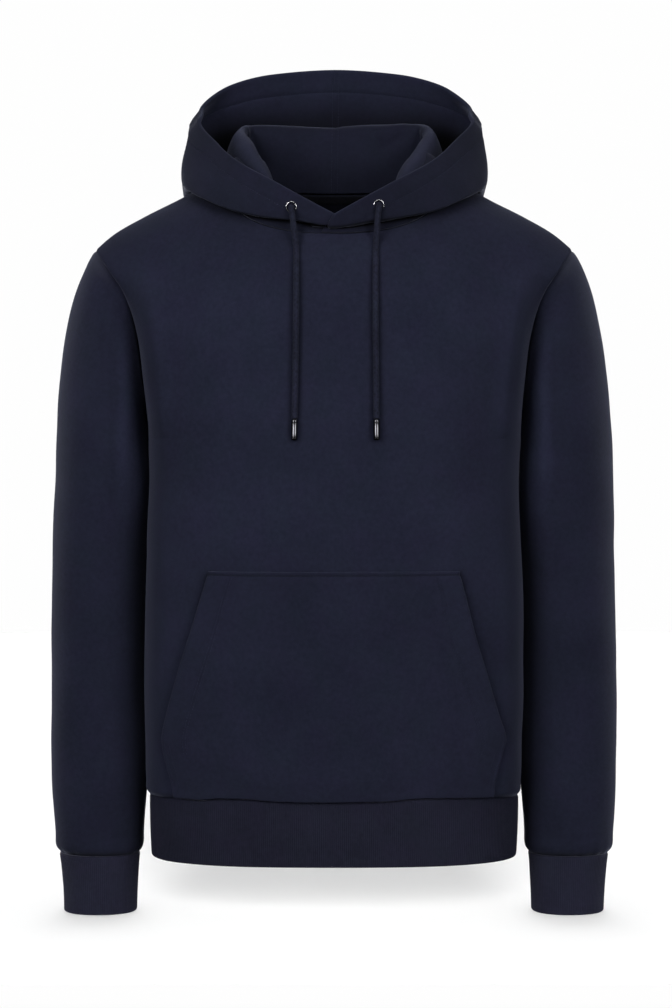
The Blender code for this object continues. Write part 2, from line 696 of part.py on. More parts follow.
def make_pocket():
    """The kangaroo pocket: a patch made from the front's own surface, moved out."""
    heights = [POCKET_TOP_Z, -432.0, -466.0, -500.0, -533.0, POCKET_CORNER_Z, -594.0,
               POCKET_FOOT_Z]
    columns = 16
    grid = []
    for z in heights:
        if z >= POCKET_CORNER_Z:
            half = lerp(POCKET_TOP_X, POCKET_CORNER_X,
                        (z - POCKET_TOP_Z) / (POCKET_CORNER_Z - POCKET_TOP_Z))
        else:
            half = lerp(POCKET_CORNER_X, POCKET_FOOT_X,
                        (z - POCKET_CORNER_Z) / (POCKET_FOOT_Z - POCKET_CORNER_Z))
        a = body.at("side", z)
        row = []
        for k in range(columns + 1):
            u = 2 * k / columns - 1
            x = half * math.sin(1.25 * u) / math.sin(1.25)
            row.append((x, surface_y(-1, abs(x), z, a), z))
        grid.append(row)
    grid = np.array(grid)
    nor = grid_normals(grid, lambda p: (0, -1, 0))
    inner = grid + nor * POCKET_LIFT
    wall("kangaroo_pocket", inner + nor * POCKET_CLOTH, inner, "fleece", even=True)


def make_tape(panels):
    """Tape that covers the neck seam inside the back: a strip of the back's inner skin."""
    rows, cols, grid, normal = panels[1]
    js = [j for j, s in enumerate(cols) if abs(s) < NECK_SHARE - 1e-9]
    strip, nors = [], []
    for share in (0.06, 1.0):
        line = []
        for j in js:
            top, low = grid[-1][j], grid[-3][j]
            line.append(lerp(top, low, share * TAPE_WIDTH / np.linalg.norm(top - low)))
        strip.append(line)
        nors.append([normal[-1][j] for j in js])
    strip, nors = np.array(strip), np.array(nors)
    outer = strip - nors * (CLOTH + 0.9)
    wall("neck_tape", outer, outer - nors * TAPE_CLOTH, "tape", even=True)


def make_cords():
    for side, sign, column in (("left", 1, "x_left"), ("right", -1, "x_right")):
        # the eyelet sits in the middle of the casing, 12 mm below the face edge
        at, m = (0.222, 2.46) if sign > 0 else (0.207, 2.45)
        p = hood_point(at, m)
        du = hood_point(at + 0.01, m) - hood_point(at - 0.01, m)
        dv = hood_point(at, m + 0.01) - hood_point(at, m - 0.01)
        n = unit(np.cross(du, dv))
        n = -n if n[1] > 0 else n
        p, n = p * (sign, 1, 1), n * (sign, 1, 1)
        seat = p + n * (1.6 if sign > 0 else 0.6)      # the half on top lies further out
        r_out, r_in, h = EYELET_OUT / 2, EYELET_IN / 2, EYELET_H
        turned("eyelet_" + side,
               [(r_out, 0.45), (r_out, 0), (r_in, 0), (r_in, h * 0.8), (r_in + 0.6, h),
                (r_out - 1.1, h)],
               "nickel", seat, n, 20)
        cord = Table(CORD_COLUMNS, CORD[::-1])
        half = CORD_D / 2
        lay = lambda z: np.array((cord.at(column, z),
                                  surface_y(-1, abs(cord.at(column, z)), z,
                                            reach_at(-1, math.pi * 0.6)) - half - 0.9, z))
        route = [seat + n * 0.3, seat + n * 3.0]
        bend = seat + n * 9.0 + np.array((sign * -2.0, 0, -7.5))
        route += [bend, lerp(bend, lay(-80.0), 0.5) + np.array((0, -2.2, 0)), lay(-80.0)]
        route += [lay(z) for z in (-100.0, -125.0, -160.0, -200.0, -230.0, CORD_END_Z)]
        points, length = through(route, 40)
        tube("drawcord_" + side, points, CORD_D, "cord")
        end = points[-1]
        run = unit(points[-1] - points[-3])
        top = end + run * SEAM
        r = TIP_D / 2
        turned("aglet_" + side,
               [(0, TIP_L), (r - 0.9, TIP_L), (r, TIP_L - 0.9), (r, 0.5), (r - 0.5, 0), (0, 0)],
               "gunmetal", top, run, 16)
        print("drawcord_%s: %.1f mm free" % (side, length))


def main():
    global collection
    for obj in list(bpy.data.objects):
        bpy.data.objects.remove(obj)
    collection = bpy.data.collections.new("hoodie")
    bpy.context.scene.collection.children.link(collection)
    make_materials()
    panels = {face: body_panel(face) for face in (-1, 1)}
    make_body(panels)
    make_hem(panels)
    make_sleeves(panels)
    make_hood()
    make_pocket()
    make_tape(panels)
    make_cords()


ARMHOLE_HOLLOW = []
main()
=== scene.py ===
"""Looks of the pullover hoodie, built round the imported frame.

The cloth follows the same sections as the CAD part.  On them this script lays what the cloth
shows: rolled edges, seams sunk between panels, casing and pocket stitching, creases placed one by
one, ribs of the cuffs and hem band, braided cords, eyelets and metal tips.  Sizes are in
millimetres and are turned into metres when a mesh is made.
"""

import json
import math

import bpy
import numpy as np
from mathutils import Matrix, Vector

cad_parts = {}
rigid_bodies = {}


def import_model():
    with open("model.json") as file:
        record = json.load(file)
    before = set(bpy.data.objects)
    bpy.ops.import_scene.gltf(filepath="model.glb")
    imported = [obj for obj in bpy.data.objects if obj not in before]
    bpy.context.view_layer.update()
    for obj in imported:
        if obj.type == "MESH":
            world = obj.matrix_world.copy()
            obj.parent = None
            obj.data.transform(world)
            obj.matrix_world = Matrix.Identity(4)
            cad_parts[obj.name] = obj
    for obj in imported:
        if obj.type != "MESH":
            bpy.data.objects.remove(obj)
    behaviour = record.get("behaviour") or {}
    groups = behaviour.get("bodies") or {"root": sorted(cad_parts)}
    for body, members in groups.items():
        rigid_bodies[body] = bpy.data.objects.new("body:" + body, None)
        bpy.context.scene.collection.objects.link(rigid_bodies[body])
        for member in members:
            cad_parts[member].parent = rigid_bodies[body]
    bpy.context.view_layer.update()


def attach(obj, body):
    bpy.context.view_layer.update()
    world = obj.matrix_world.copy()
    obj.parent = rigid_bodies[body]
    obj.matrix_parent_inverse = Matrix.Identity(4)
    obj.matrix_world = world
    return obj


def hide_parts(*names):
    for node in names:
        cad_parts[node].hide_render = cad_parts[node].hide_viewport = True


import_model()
scene = bpy.context.scene
MM = 0.001
PI = math.pi

# ---------------------------------------------------------------- camera
# The picture's centre line is x = 0 at column 334, its horizon is at row 420, and a millimetre
# at the garment's middle is 1 / 1.02 pixel.
CAMERA_D, CAMERA_Z, PER_PIXEL = 2600.0, -251.0, 1.02
camera_data = bpy.data.cameras.new("camera")
camera_data.sensor_fit = "VERTICAL"
camera_data.sensor_height = 36.0
camera_data.lens = 36.0 * CAMERA_D / (1008 * PER_PIXEL)
camera_data.shift_x = 2 / 1008
camera_data.shift_y = -84 / 1008
camera_data.clip_start = 0.1
camera_data.clip_end = 200.0
camera = bpy.data.objects.new("camera", camera_data)
camera.location = (0, -CAMERA_D * MM, CAMERA_Z * MM)
camera.rotation_euler = (PI / 2, 0, 0)
scene.collection.objects.link(camera)
scene.camera = camera
scene.view_settings.view_transform = "Standard"
scene.view_settings.look = "None"
# each light reaches its own pieces, and with a light tree that differs from run to run
scene.cycles.use_light_tree = False

# ---------------------------------------------------------------- sizes, as in the CAD part
CLOTH, RIB, HOOD_CLOTH, SEAM = 2.2, 2.6, 3.0, 0.3
HEM_SEAM_Z, HEM_Z, UNDERARM_Z = -625.0, -691.0, -269.0
TIP_X, TIP_Z, RIDGE_Y = 243.0, -78.0, 3.0
ARMHOLE_FRONT, ARMHOLE_BACK = 68.0, 73.0
NECK_X, NECK_FRONT_DROP, NECK_BACK_DROP = 109.0, 68.0, 15.0
NECK_SQUARE_X, NECK_SQUARE_Z, NECK_SHARE = 2.3, 3.1, 0.42
OVERLAP = 12.0
CORD_D, TIP_D, TIP_L = 5.8, 6.8, 20.0
EYELET_OUT, EYELET_IN, EYELET_H = 12.0, 7.4, 1.4
CORD_END_Z = -250.5

BODY_COLUMNS = ("z", "side", "front", "back", "square")
BODY = (
    (-691.0, 185.0,  97.0,  96.0, 2.7),
    (-645.0, 186.8, 100.0,  99.0, 2.7),
    (-625.0, 187.0, 102.0, 100.0, 2.7),
    (-606.0, 190.2, 108.5, 105.0, 2.7),
    (-577.0, 190.8, 113.0, 108.0, 2.7),
    (-500.0, 192.6, 119.0, 112.0, 2.7),
    (-430.0, 191.6, 123.0, 115.0, 2.7),
    (-373.0, 189.6, 126.0, 117.0, 2.7),
    (-311.0, 188.0, 128.0, 118.0, 2.6),
    (-269.0, 189.0, 129.0, 118.0, 2.6),
    (-200.0, 189.0, 127.0, 115.0, 2.5),
    (-120.0, 189.0, 118.0, 105.0, 2.5),
    ( -60.0, 189.0, 110.0,  93.0, 2.4),
    (  20.0, 189.0, 104.0,  86.0, 2.4),
)
SHOULDER_COLUMNS = ("x", "z", "turn_front", "turn_back")
SHOULDER = (
    (  0.0,  18.0, 150.0,  80.0),
    ( 60.0,  12.0, 150.0,  80.0),
    (109.0,   0.0, 146.0,  80.0),
    (130.0, -11.2, 138.0,  82.0),
    (162.0, -28.6, 124.0,  86.0),
    (194.0, -45.0, 112.0,  92.0),
    (223.0, -61.3, 103.0,  96.0),
    (243.0, -78.0, 100.0, 100.0),
)
ARMHOLE_COLUMNS = ("z", "x")
ARMHOLE = (
    (-269.0, 189.0),
    (-245.0, 189.4),
    (-213.0, 191.7),
    (-176.0, 195.4),
    (-150.0, 200.8),
    (-125.0, 210.0),
    (-100.0, 227.5),
    ( -78.0, 243.0),
)
# The sleeve's inner line lies closer to the body here than in the CAD part, as soft cloth does.
SLEEVE_COLUMNS = ("out_x", "out_z", "in_x", "in_z", "middle", "fore", "aft", "keep", "square")
SLEEVE = (
    (249.5,  -87.5, 189.2, -268.2,  3.0, 68.0, 72.0, 0.85, 2.1),
    (256.5, -101.5, 188.4, -271.4,  3.0, 68.0, 71.0, 0.70, 2.1),
    (264.5, -123.0, 187.6, -280.0,  3.5, 68.0, 70.0, 0.48, 2.2),
    (271.5, -153.0, 187.2, -294.0,  4.0, 67.0, 69.0, 0.28, 2.2),
    (277.8, -196.0, 187.4, -315.0,  5.0, 66.0, 68.0, 0.10, 2.2),
    (282.3, -255.0, 187.9, -345.0,  6.0, 64.0, 66.0, 0.00, 2.2),
    (285.0, -330.0, 189.2, -385.0,  7.0, 60.0, 62.0, 0.00, 2.2),
    (287.2, -420.0, 190.6, -440.0,  8.0, 55.0, 58.0, 0.00, 2.2),
    (288.7, -520.0, 191.2, -520.0,  8.0, 50.0, 52.0, 0.00, 2.2),
    (288.0, -605.0, 189.9, -605.0,  7.0, 46.0, 47.0, 0.00, 2.2),
    (286.6, -655.0, 193.4, -655.0,  6.0, 43.0, 43.0, 0.00, 2.2),
    (285.6, -676.0, 194.3, -676.0,  6.0, 41.2, 41.2, 0.00, 2.2),
    (284.4, -685.5, 195.2, -685.5,  6.0, 39.8, 39.8, 0.00, 2.2),
    (280.2, -691.0, 198.4, -691.0,  6.0, 36.5, 36.5, 0.00, 2.2),
)
CUFF_COLUMNS = ("z", "out_x", "in_x", "half_depth")
CUFF = (
    (-751.0, 275.4, 201.6, 33.5),
    (-705.0, 278.2, 199.6, 35.2),
    (-691.3, 280.2, 198.4, 36.5),
)
HOOD_COLUMNS = ("at", "ridge_x", "ridge_y", "ridge_z", "fold_x", "fold_y", "fold_z",
                "rim_x", "rim_y", "rim_z", "out", "over", "under")
HOOD = (
    (0.00,   0.0, -95.5, -61.0,   0.0,  -98.5, -58.0,   0.0, -100.0, -49.0,   0.0,  2.0,  3.0),
    (0.25,  46.0, -89.0, -52.0,  50.0,  -95.5, -54.5,  52.0,  -84.0, -18.0,  20.0,  6.0,  7.0),
    (0.50,  60.0, -68.0, -25.0,  95.0,  -85.0, -46.0,  93.0,  -54.0,   7.5,  42.0, 30.0, 22.0),
    (0.75,  73.0, -35.0,   2.0, 128.0,  -62.0, -32.0, 122.0,  -24.0,  31.0,  66.0, 60.0, 40.0),
    (1.00,  88.0,   8.0,  29.0, 149.0,   -6.0, -18.0, 148.5,   18.0,  59.0,  88.0, 70.0, 50.0),
    (1.25,  97.0,  42.0,  45.0, 147.0,   52.0, -34.0, 148.5,   47.0,  72.0, 108.0, 66.0, 60.0),
    (1.50,  92.0,  65.0,  54.0, 126.0,   98.0, -64.0, 122.5,   90.0,  98.5, 132.0, 60.0, 72.0),
    (1.75,  52.0,  78.0,  55.0,  68.0,  121.0, -88.0,  68.0,  112.0, 116.5, 158.0, 60.0, 80.0),
    (2.00,   0.0,  81.0,  55.0,   0.0,  128.0, -97.0,   0.0,  117.0, 122.0, 180.0, 60.0, 80.0),
)
CORD_COLUMNS = ("z", "x_right", "x_left")
CORD = (
    (-250.5, -38.2, 41.2),
    (-205.0, -37.4, 40.8),
    (-160.0, -36.9, 40.4),
    (-110.0, -36.6, 40.4),
    ( -80.0, -37.2, 41.0),
)

# ---------------------------------------------------------------- sizes of what is added here
GROOVE_W, GROOVE_D = 1.5, 1.2          # a seam sunk between two panels
CASING = 24.0                          # hood casing, face edge to its stitching
POCKET_FACING = 23.5                   # pocket opening, edge to the inner of its two stitch lines
STITCH_PITCH, STITCH_D = 3.1, 0.55
RIB_PITCH = 2.05

# The hem seam isn't quite level: x across the garment, and how far the seam lies off its height.
WAVE_COLUMNS = ("x", "front", "back")
WAVE = (
    (-187.0, -3.0, -3.0),
    (-154.0, -1.2, -0.7),
    (-134.0, -1.6, -1.1),
    (-111.0,  0.9,  0.6),
    ( -92.0,  1.2,  0.9),
    ( -55.0, -0.5, -0.9),
    ( -11.0, -1.1,  0.2),
    (  49.0, -0.8,  1.0),
    (  84.0,  1.5, -0.4),
    ( 128.0,  0.6, -1.2),
    ( 162.0, -0.8,  0.0),
    ( 187.0, -5.0, -4.0),
)

# Half width of the pocket on each side of the middle, by height.
POCKET_COLUMNS = ("z", "right", "left")
POCKET = (
    (-624.0, 155.5, 155.0),
    (-606.0, 161.0, 158.5),
    (-590.0, 165.5, 162.5),
    (-577.5, 168.3, 166.0),
    (-567.5, 169.0, 168.2),
    (-559.5, 168.0, 166.8),
    (-548.0, 165.3, 162.8),
    (-503.0, 152.0, 148.6),
    (-463.0, 140.0, 136.8),
    (-424.0, 129.0, 127.6),
    (-398.5, 121.4, 121.0),
)
# The armhole seam lies sunk between the body's rolled edge and the sleeve, deepest beside the
# chest: height, depth at the front and at the back.
SINK_COLUMNS = ("z", "front", "back")
SINK = (
    (-345.0,  0.0,  0.0),
    (-310.0, 10.0,  6.0),
    (-269.0, 22.0, 14.0),
    (-235.0, 26.0, 17.0),
    (-200.0, 27.0, 17.0),
    (-165.0, 23.0, 14.0),
    (-138.0, 16.0, 10.0),
    (-116.0,  7.5,  5.0),
    ( -98.0,  2.0,  1.5),
    ( -78.0,  0.0,  0.0),
)
ROLL, DIP = 6.5, 40.0                  # width of the body's roll, and of the sleeve's slope

# Creases: each row is one soft trough (minus) or ridge (plus) laid along its given points.
# Points of the body are (x, z) seen from the front; depth and width in millimetres.
CREASE_COLUMNS = ("depth", "width", "points")
FRONT_CREASES = (
    (-0.9, 11.0, ((-77, -548), (-80, -575), (-78, -600), (-80, -622))),
    (-1.0, 13.0, ((74, -540), (80, -566), (86, -590), (84, -622))),
    ( 0.6, 12.0, ((58, -560), (60, -590), (58, -620))),
    ( 0.5, 14.0, ((-50, -565), (-52, -595), (-50, -620))),
    (-0.8, 15.0, ((150, -452), (161, -470), (163, -498), (156, -515))),
    (-0.8, 17.0, ((-186, -276), (-168, -306), (-150, -352))),
    (-0.9, 15.0, ((187, -272), (170, -300), (156, -336))),
    (-0.6, 24.0, ((-128, -330), (-134, -400), (-130, -470))),
    (-0.6, 26.0, ((122, -350), (130, -420), (124, -500))),
    ( 0.7, 30.0, ((-60, -230), (-64, -300), (-60, -370))),
    ( 0.6, 30.0, ((70, -240), (66, -320), (72, -380))),
    (-0.7, 16.0, ((-176, -560), (-168, -590), (-160, -622))),
    (-0.7, 18.0, ((176, -548), (170, -585), (158, -622))),
    ( 0.8, 16.0, ((-196, -110), (-170, -140), (-150, -186))),
    ( 0.7, 18.0, ((200, -112), (176, -146), (152, -190))),
)
BACK_CREASES = (
    (-1.8, 22.0, ((-150, -150), (-112, -196), (-92, -262), (-98, -330))),
    (-1.6, 20.0, ((158, -160), (124, -204), (96, -268), (92, -350))),
    ( 1.4, 24.0, ((-60, -180), (-48, -260), (-56, -350))),
    ( 1.2, 22.0, ((52, -190), (58, -270), (50, -360))),
    (-1.2, 18.0, ((6, -230), (-4, -330), (4, -420))),
    (-1.5, 14.0, ((-184, -280), (-160, -316), (-140, -366))),
    (-1.4, 15.0, ((186, -276), (158, -322), (146, -380))),
    (-1.6, 13.0, ((-120, -556), (-60, -572), (0, -566), (66, -576), (118, -560))),
    ( 1.3, 15.0, ((-130, -584), (-64, -596), (4, -590), (70, -598), (134, -584))),
    (-1.0, 12.0, ((-104, -590), (-106, -606), (-102, -622))),
    (-1.1, 13.0, ((88, -586), (92, -604), (90, -622))),
    (-0.9, 20.0, ((-130, -420), (-120, -480), (-128, -530))),
    (-0.9, 22.0, ((128, -410), (134, -470), (124, -530))),
)
# On a sleeve: round is the angle in degrees from its outer line (90 the front, 180 against the
# body, 270 the back), z the height.
SLEEVE_CREASES = {
    "left": (
        (-1.2, 11.0, ((160, -292), (128, -318), (104, -352))),
        (-0.9, 13.0, ((150, -330), (118, -372), (98, -420))),
        ( 0.9, 15.0, ((78, -180), (82, -250), (80, -320))),
        (-1.5, 11.0, ((300, -392), (262, -402), (218, -396))),
        (-1.9, 10.0, ((310, -428), (266, -436), (212, -424), (180, -418))),
        (-1.4, 11.0, ((296, -462), (256, -466), (214, -458))),
        ( 1.2, 13.0, ((300, -412), (258, -420), (214, -410))),
        (-0.8, 18.0, ((60, -560), (66, -610), (62, -660))),
        (-0.8, 10.0, ((118, -634), (122, -660), (120, -686))),
        (-1.0, 10.0, ((258, -626), (262, -658), (260, -686))),
        (-1.2, 16.0, ((286, -150), (262, -200), (238, -262))),
    ),
    "right": (
        (-1.1, 12.0, ((164, -288), (132, -312), (106, -344))),
        (-1.0, 12.0, ((152, -326), (122, -362), (100, -408))),
        ( 0.8, 16.0, ((74, -190), (80, -262), (78, -330))),
        (-1.7, 12.0, ((302, -384), (258, -398), (210, -388))),
        (-1.6, 10.0, ((306, -420), (262, -428), (208, -416), (182, -410))),
        (-1.2, 11.0, ((290, -452), (254, -458), (218, -448))),
        ( 1.1, 12.0, ((298, -404), (258, -412), (212, -402))),
        (-0.8, 17.0, ((64, -570), (58, -620), (62, -668))),
        (-0.9, 11.0, ((112, -640), (116, -664), (114, -687))),
        (-0.9, 11.0, ((250, -630), (254, -660), (252, -687))),
        (-1.1, 17.0, ((284, -158), (258, -210), (236, -270))),
    ),
}
# On the hood: points are (at, m) of its own net; plus stands towards whoever looks at that side.
HOOD_CREASES = {
    "left": (
        (-3.2,  7.0, ((1.76, 0.46), (1.68, 0.60), (1.58, 0.74))),
        ( 1.6,  6.0, ((1.80, 0.74), (1.68, 0.84), (1.58, 0.92))),
        (-2.6,  4.0, ((1.50, 0.92), (1.46, 0.62), (1.50, 0.34))),
        ( 1.6,  4.0, ((1.40, 0.92), (1.38, 0.66), (1.42, 0.46))),
        (-1.4, 15.0, ((1.16, 2.26), (1.40, 2.30), (1.62, 2.22))),
        ( 1.3, 15.0, ((0.58, 2.34), (0.80, 2.44), (1.02, 2.60))),
        (-1.4, 11.0, ((0.50, 2.14), (0.70, 2.18), (0.90, 2.36))),
    ),
    "right": (
        (-3.4,  3.6, ((1.54, 0.94), (1.50, 0.70), (1.50, 0.50), (1.57, 0.30))),
        ( 2.4,  3.2, ((1.44, 0.94), (1.42, 0.72), (1.44, 0.52))),
        (-1.6,  8.0, ((1.66, 0.80), (1.63, 0.56), (1.70, 0.36))),
        ( 1.2, 10.0, ((1.78, 0.80), (1.74, 0.60), (1.80, 0.42))),
        (-1.6, 14.0, ((1.20, 2.30), (1.42, 2.24), (1.66, 2.28))),
        ( 1.4, 16.0, ((0.62, 2.30), (0.84, 2.42), (1.04, 2.62))),
        (-1.3, 10.0, ((0.46, 2.12), (0.66, 2.20), (0.86, 2.34))),
    ),
}
# How far the stand is hollowed behind its rolled top at the sides, as at and millimetres.
HOLLOW = {"left": 9.0, "right": 11.0}
# How far the cloth drops behind the rolled top, before it comes up again at the face edge.
VALLEY = 17.0


# ---------------------------------------------------------------- tables and small helpers
def slopes(xs, ys):
    """Slopes of a cubic that passes through the rows without overshooting them."""
    h = np.diff(xs)
    d = np.diff(ys) / h
    m = np.zeros(len(xs))
    for i in range(1, len(xs) - 1):
        if d[i - 1] * d[i] > 0:
            w1, w2 = 2 * h[i] + h[i - 1], h[i] + 2 * h[i - 1]
            m[i] = (w1 + w2) / (w1 / d[i - 1] + w2 / d[i])
    for end, a, b in ((0, 0, 1), (-1, -1, -2)):
        m[end] = ((2 * h[a] + h[b]) * d[a] - h[a] * d[b]) / (h[a] + h[b])
        if m[end] * d[a] <= 0:
            m[end] = 0.0
        elif d[a] * d[b] <= 0 and abs(m[end]) > 3 * abs(d[a]):
            m[end] = 3 * d[a]
    return m


class Table:
    """Rows with named columns, read smoothly between rows along the first column."""

    def __init__(self, names, rows, mirror_end=()):
        data = np.array(rows, float)
        if mirror_end:
            back = data[-2:-4:-1].copy()
            back[:, 0] = 2 * data[-1, 0] - back[:, 0]
            for name in mirror_end:
                back[:, names.index(name)] *= -1
            data = np.vstack([data, back])
        self.x = data[:, 0]
        self.y = {n: data[:, i] for i, n in enumerate(names)}
        self.m = {n: slopes(self.x, self.y[n]) for n in names}

    def at(self, name, x):
        x = np.clip(x, self.x[0], self.x[-1])
        i = np.clip(np.searchsorted(self.x, x) - 1, 0, len(self.x) - 2)
        h = self.x[i + 1] - self.x[i]
        t = (x - self.x[i]) / h
        y, m = self.y[name], self.m[name]
        return (y[i] * (1 + 2 * t) * (1 - t) ** 2 + y[i + 1] * t * t * (3 - 2 * t)
                + h * (m[i] * t * (1 - t) ** 2 + m[i + 1] * t * t * (t - 1)))


body = Table(BODY_COLUMNS, BODY)
shoulder = Table(SHOULDER_COLUMNS, SHOULDER)
armhole = Table(ARMHOLE_COLUMNS, ARMHOLE)
cuff = Table(CUFF_COLUMNS, CUFF)
hood = Table(HOOD_COLUMNS, HOOD, mirror_end=("ridge_x", "fold_x", "rim_x"))
cords = Table(CORD_COLUMNS, CORD)
wave = Table(WAVE_COLUMNS, WAVE)
sink = Table(SINK_COLUMNS, SINK)
pocket = Table(POCKET_COLUMNS, POCKET)


def lerp(a, b, t):
    return a + (b - a) * t


def smooth(t):
    t = np.clip(t, 0, 1)
    return t * t * (3 - 2 * t)


def bump(d, width):
    return np.exp(-(np.asarray(d, float) / width) ** 2)


def unit(v):
    v = np.asarray(v, float)
    return v / np.maximum(np.linalg.norm(v, axis=-1, keepdims=True), 1e-9)


def run_along(grid, axis):
    """Length along a grid's rows or columns from its first point."""
    seg = np.linalg.norm(np.diff(grid, axis=axis), axis=2)
    zero = np.zeros_like(np.take(seg, [0], axis=axis))
    return np.concatenate([zero, np.cumsum(seg, axis=axis)], axis=axis)


def normals(grid, ring=False):
    du = (np.roll(grid, -1, 1) - np.roll(grid, 1, 1)) if ring else np.gradient(grid, axis=1)
    return unit(np.cross(du, np.gradient(grid, axis=0)))


def steady(n, passes=4):
    """Normals with those that turn over at a tight fold taken from their neighbours."""
    for _ in range(passes):
        p = np.concatenate([n[2:3], n[1:2], n, n[-2:-1], n[-3:-2]])
        around = unit(p[:-4] + p[1:-3] + p[3:-1] + p[4:])
        n = np.where((n * around).sum(-1, keepdims=True) < 0.35, around, n)
    return n


def spline(xs, ys, xq):
    """Smooth (C2) curve through rows ys at xs, read at xq."""
    n = len(xs)
    h = np.diff(xs)
    a = np.zeros((n, n))
    b = np.zeros((n, ys.shape[1]))
    a[0, 0] = a[-1, -1] = 1
    for i in range(1, n - 1):
        a[i, i - 1], a[i, i], a[i, i + 1] = h[i - 1], 2 * (h[i - 1] + h[i]), h[i]
        b[i] = 6 * ((ys[i + 1] - ys[i]) / h[i] - (ys[i] - ys[i - 1]) / h[i - 1])
    m = np.linalg.solve(a, b)
    i = np.clip(np.searchsorted(xs, xq) - 1, 0, n - 2)
    u, w, hh = (xq - xs[i])[:, None], (xs[i + 1] - xq)[:, None], h[i][:, None]
    return (m[i] * w ** 3 + m[i + 1] * u ** 3) / (6 * hh) \
        + (ys[i] / hh - m[i] * hh / 6) * w + (ys[i + 1] / hh - m[i + 1] * hh / 6) * u


def unevenness(p, reach, seed, count=14):
    """Soft uneven field over points p, about -1 to 1, with waves of about the given reach."""
    rng = np.random.default_rng(seed)
    out = np.zeros(p.shape[:-1])
    for _ in range(count):
        k = rng.normal(size=3)
        k *= 2 * PI / (reach * rng.uniform(0.7, 1.6) * np.linalg.norm(k))
        out += np.cos(p @ k + rng.uniform(0, 2 * PI))
    return out / math.sqrt(count / 2) * 0.7


def crease(points, line, depth, width):
    """Height of one crease over points: strongest in the middle of its line, fading at its ends."""
    line = np.array(line, float)
    seg = np.linalg.norm(np.diff(line, axis=0), axis=1)
    start = np.concatenate([[0], np.cumsum(seg)])
    best = np.full(points.shape[:-1], 1e9)
    place = np.zeros(points.shape[:-1])
    for i in range(len(seg)):
        a, d = line[i], line[i + 1] - line[i]
        t = np.clip(((points - a) @ d) / (seg[i] ** 2), 0, 1)
        dist = np.linalg.norm(points - a - t[..., None] * d, axis=-1)
        near = dist < best
        best = np.where(near, dist, best)
        place = np.where(near, (start[i] + t * seg[i]) / start[-1], place)
    fade = smooth(place / 0.3) * smooth((1 - place) / 0.3) * 0.85 + 0.15
    return depth * bump(best, width) * fade


def polish(line, steps=3):
    """A given line with its corners rounded."""
    p = np.array(line, float)
    for _ in range(steps):
        q = [p[0]]
        for a, b in zip(p, p[1:]):
            q += [lerp(a, b, 0.25), lerp(a, b, 0.75)]
        p = np.array(q + [p[-1]])
    return p


# ---------------------------------------------------------------- forms
def edge_z(psi):
    return lerp(UNDERARM_Z, TIP_Z, (1 - np.cos(psi)) / 2)


def reach_at(face, psi):
    z = edge_z(psi)
    x = armhole.at("x", z)
    name = "front" if face < 0 else "back"
    n = body.at("square", z)
    deep = (ARMHOLE_FRONT if face < 0 else ARMHOLE_BACK) * np.sin(np.minimum(psi, PI / 2))
    return x / (1 - (deep / body.at(name, z)) ** n) ** (1 / n)


def surface_y(face, x, z, reach):
    name = "front" if face < 0 else "back"
    n = body.at("square", z)
    flat = face * body.at(name, z) * np.maximum(1 - (x / reach) ** n, 0.0) ** (1 / n)
    turn = shoulder.at("turn_" + name, x)
    down = np.clip(shoulder.at("z", x) - z, 0.0, turn)
    share = np.sqrt(np.maximum(1 - ((turn - down) / turn) ** 2, 0.0))
    return RIDGE_Y + (flat - RIDGE_Y) * share


def neck_edge(face, nu):
    drop = NECK_FRONT_DROP if face < 0 else NECK_BACK_DROP
    th = np.asarray(nu) * PI / 2
    return (NECK_X * np.sin(th) ** (2 / NECK_SQUARE_X),
            -drop * np.maximum(np.cos(th), 0.0) ** (2 / NECK_SQUARE_Z))


NECK_ARC = {}
for _face in (-1, 1):
    _nu = np.linspace(0, 1, 241)
    _x, _z = neck_edge(_face, _nu)
    _pts = np.stack([_x, surface_y(_face, _x, _z, reach_at(_face, PI)), _z], 1)
    _len = np.concatenate([[0], np.cumsum(np.linalg.norm(np.diff(_pts, axis=0), axis=1))])
    NECK_ARC[_face] = (_len / _len[-1], _nu)


def neck_point(face, share):
    share = np.clip(share, 0.0, 1.0)
    x, z = neck_edge(face, np.interp(share, *NECK_ARC[face]))
    return np.where(share >= 1, NECK_X, x), np.where(share >= 1, 0.0, z)


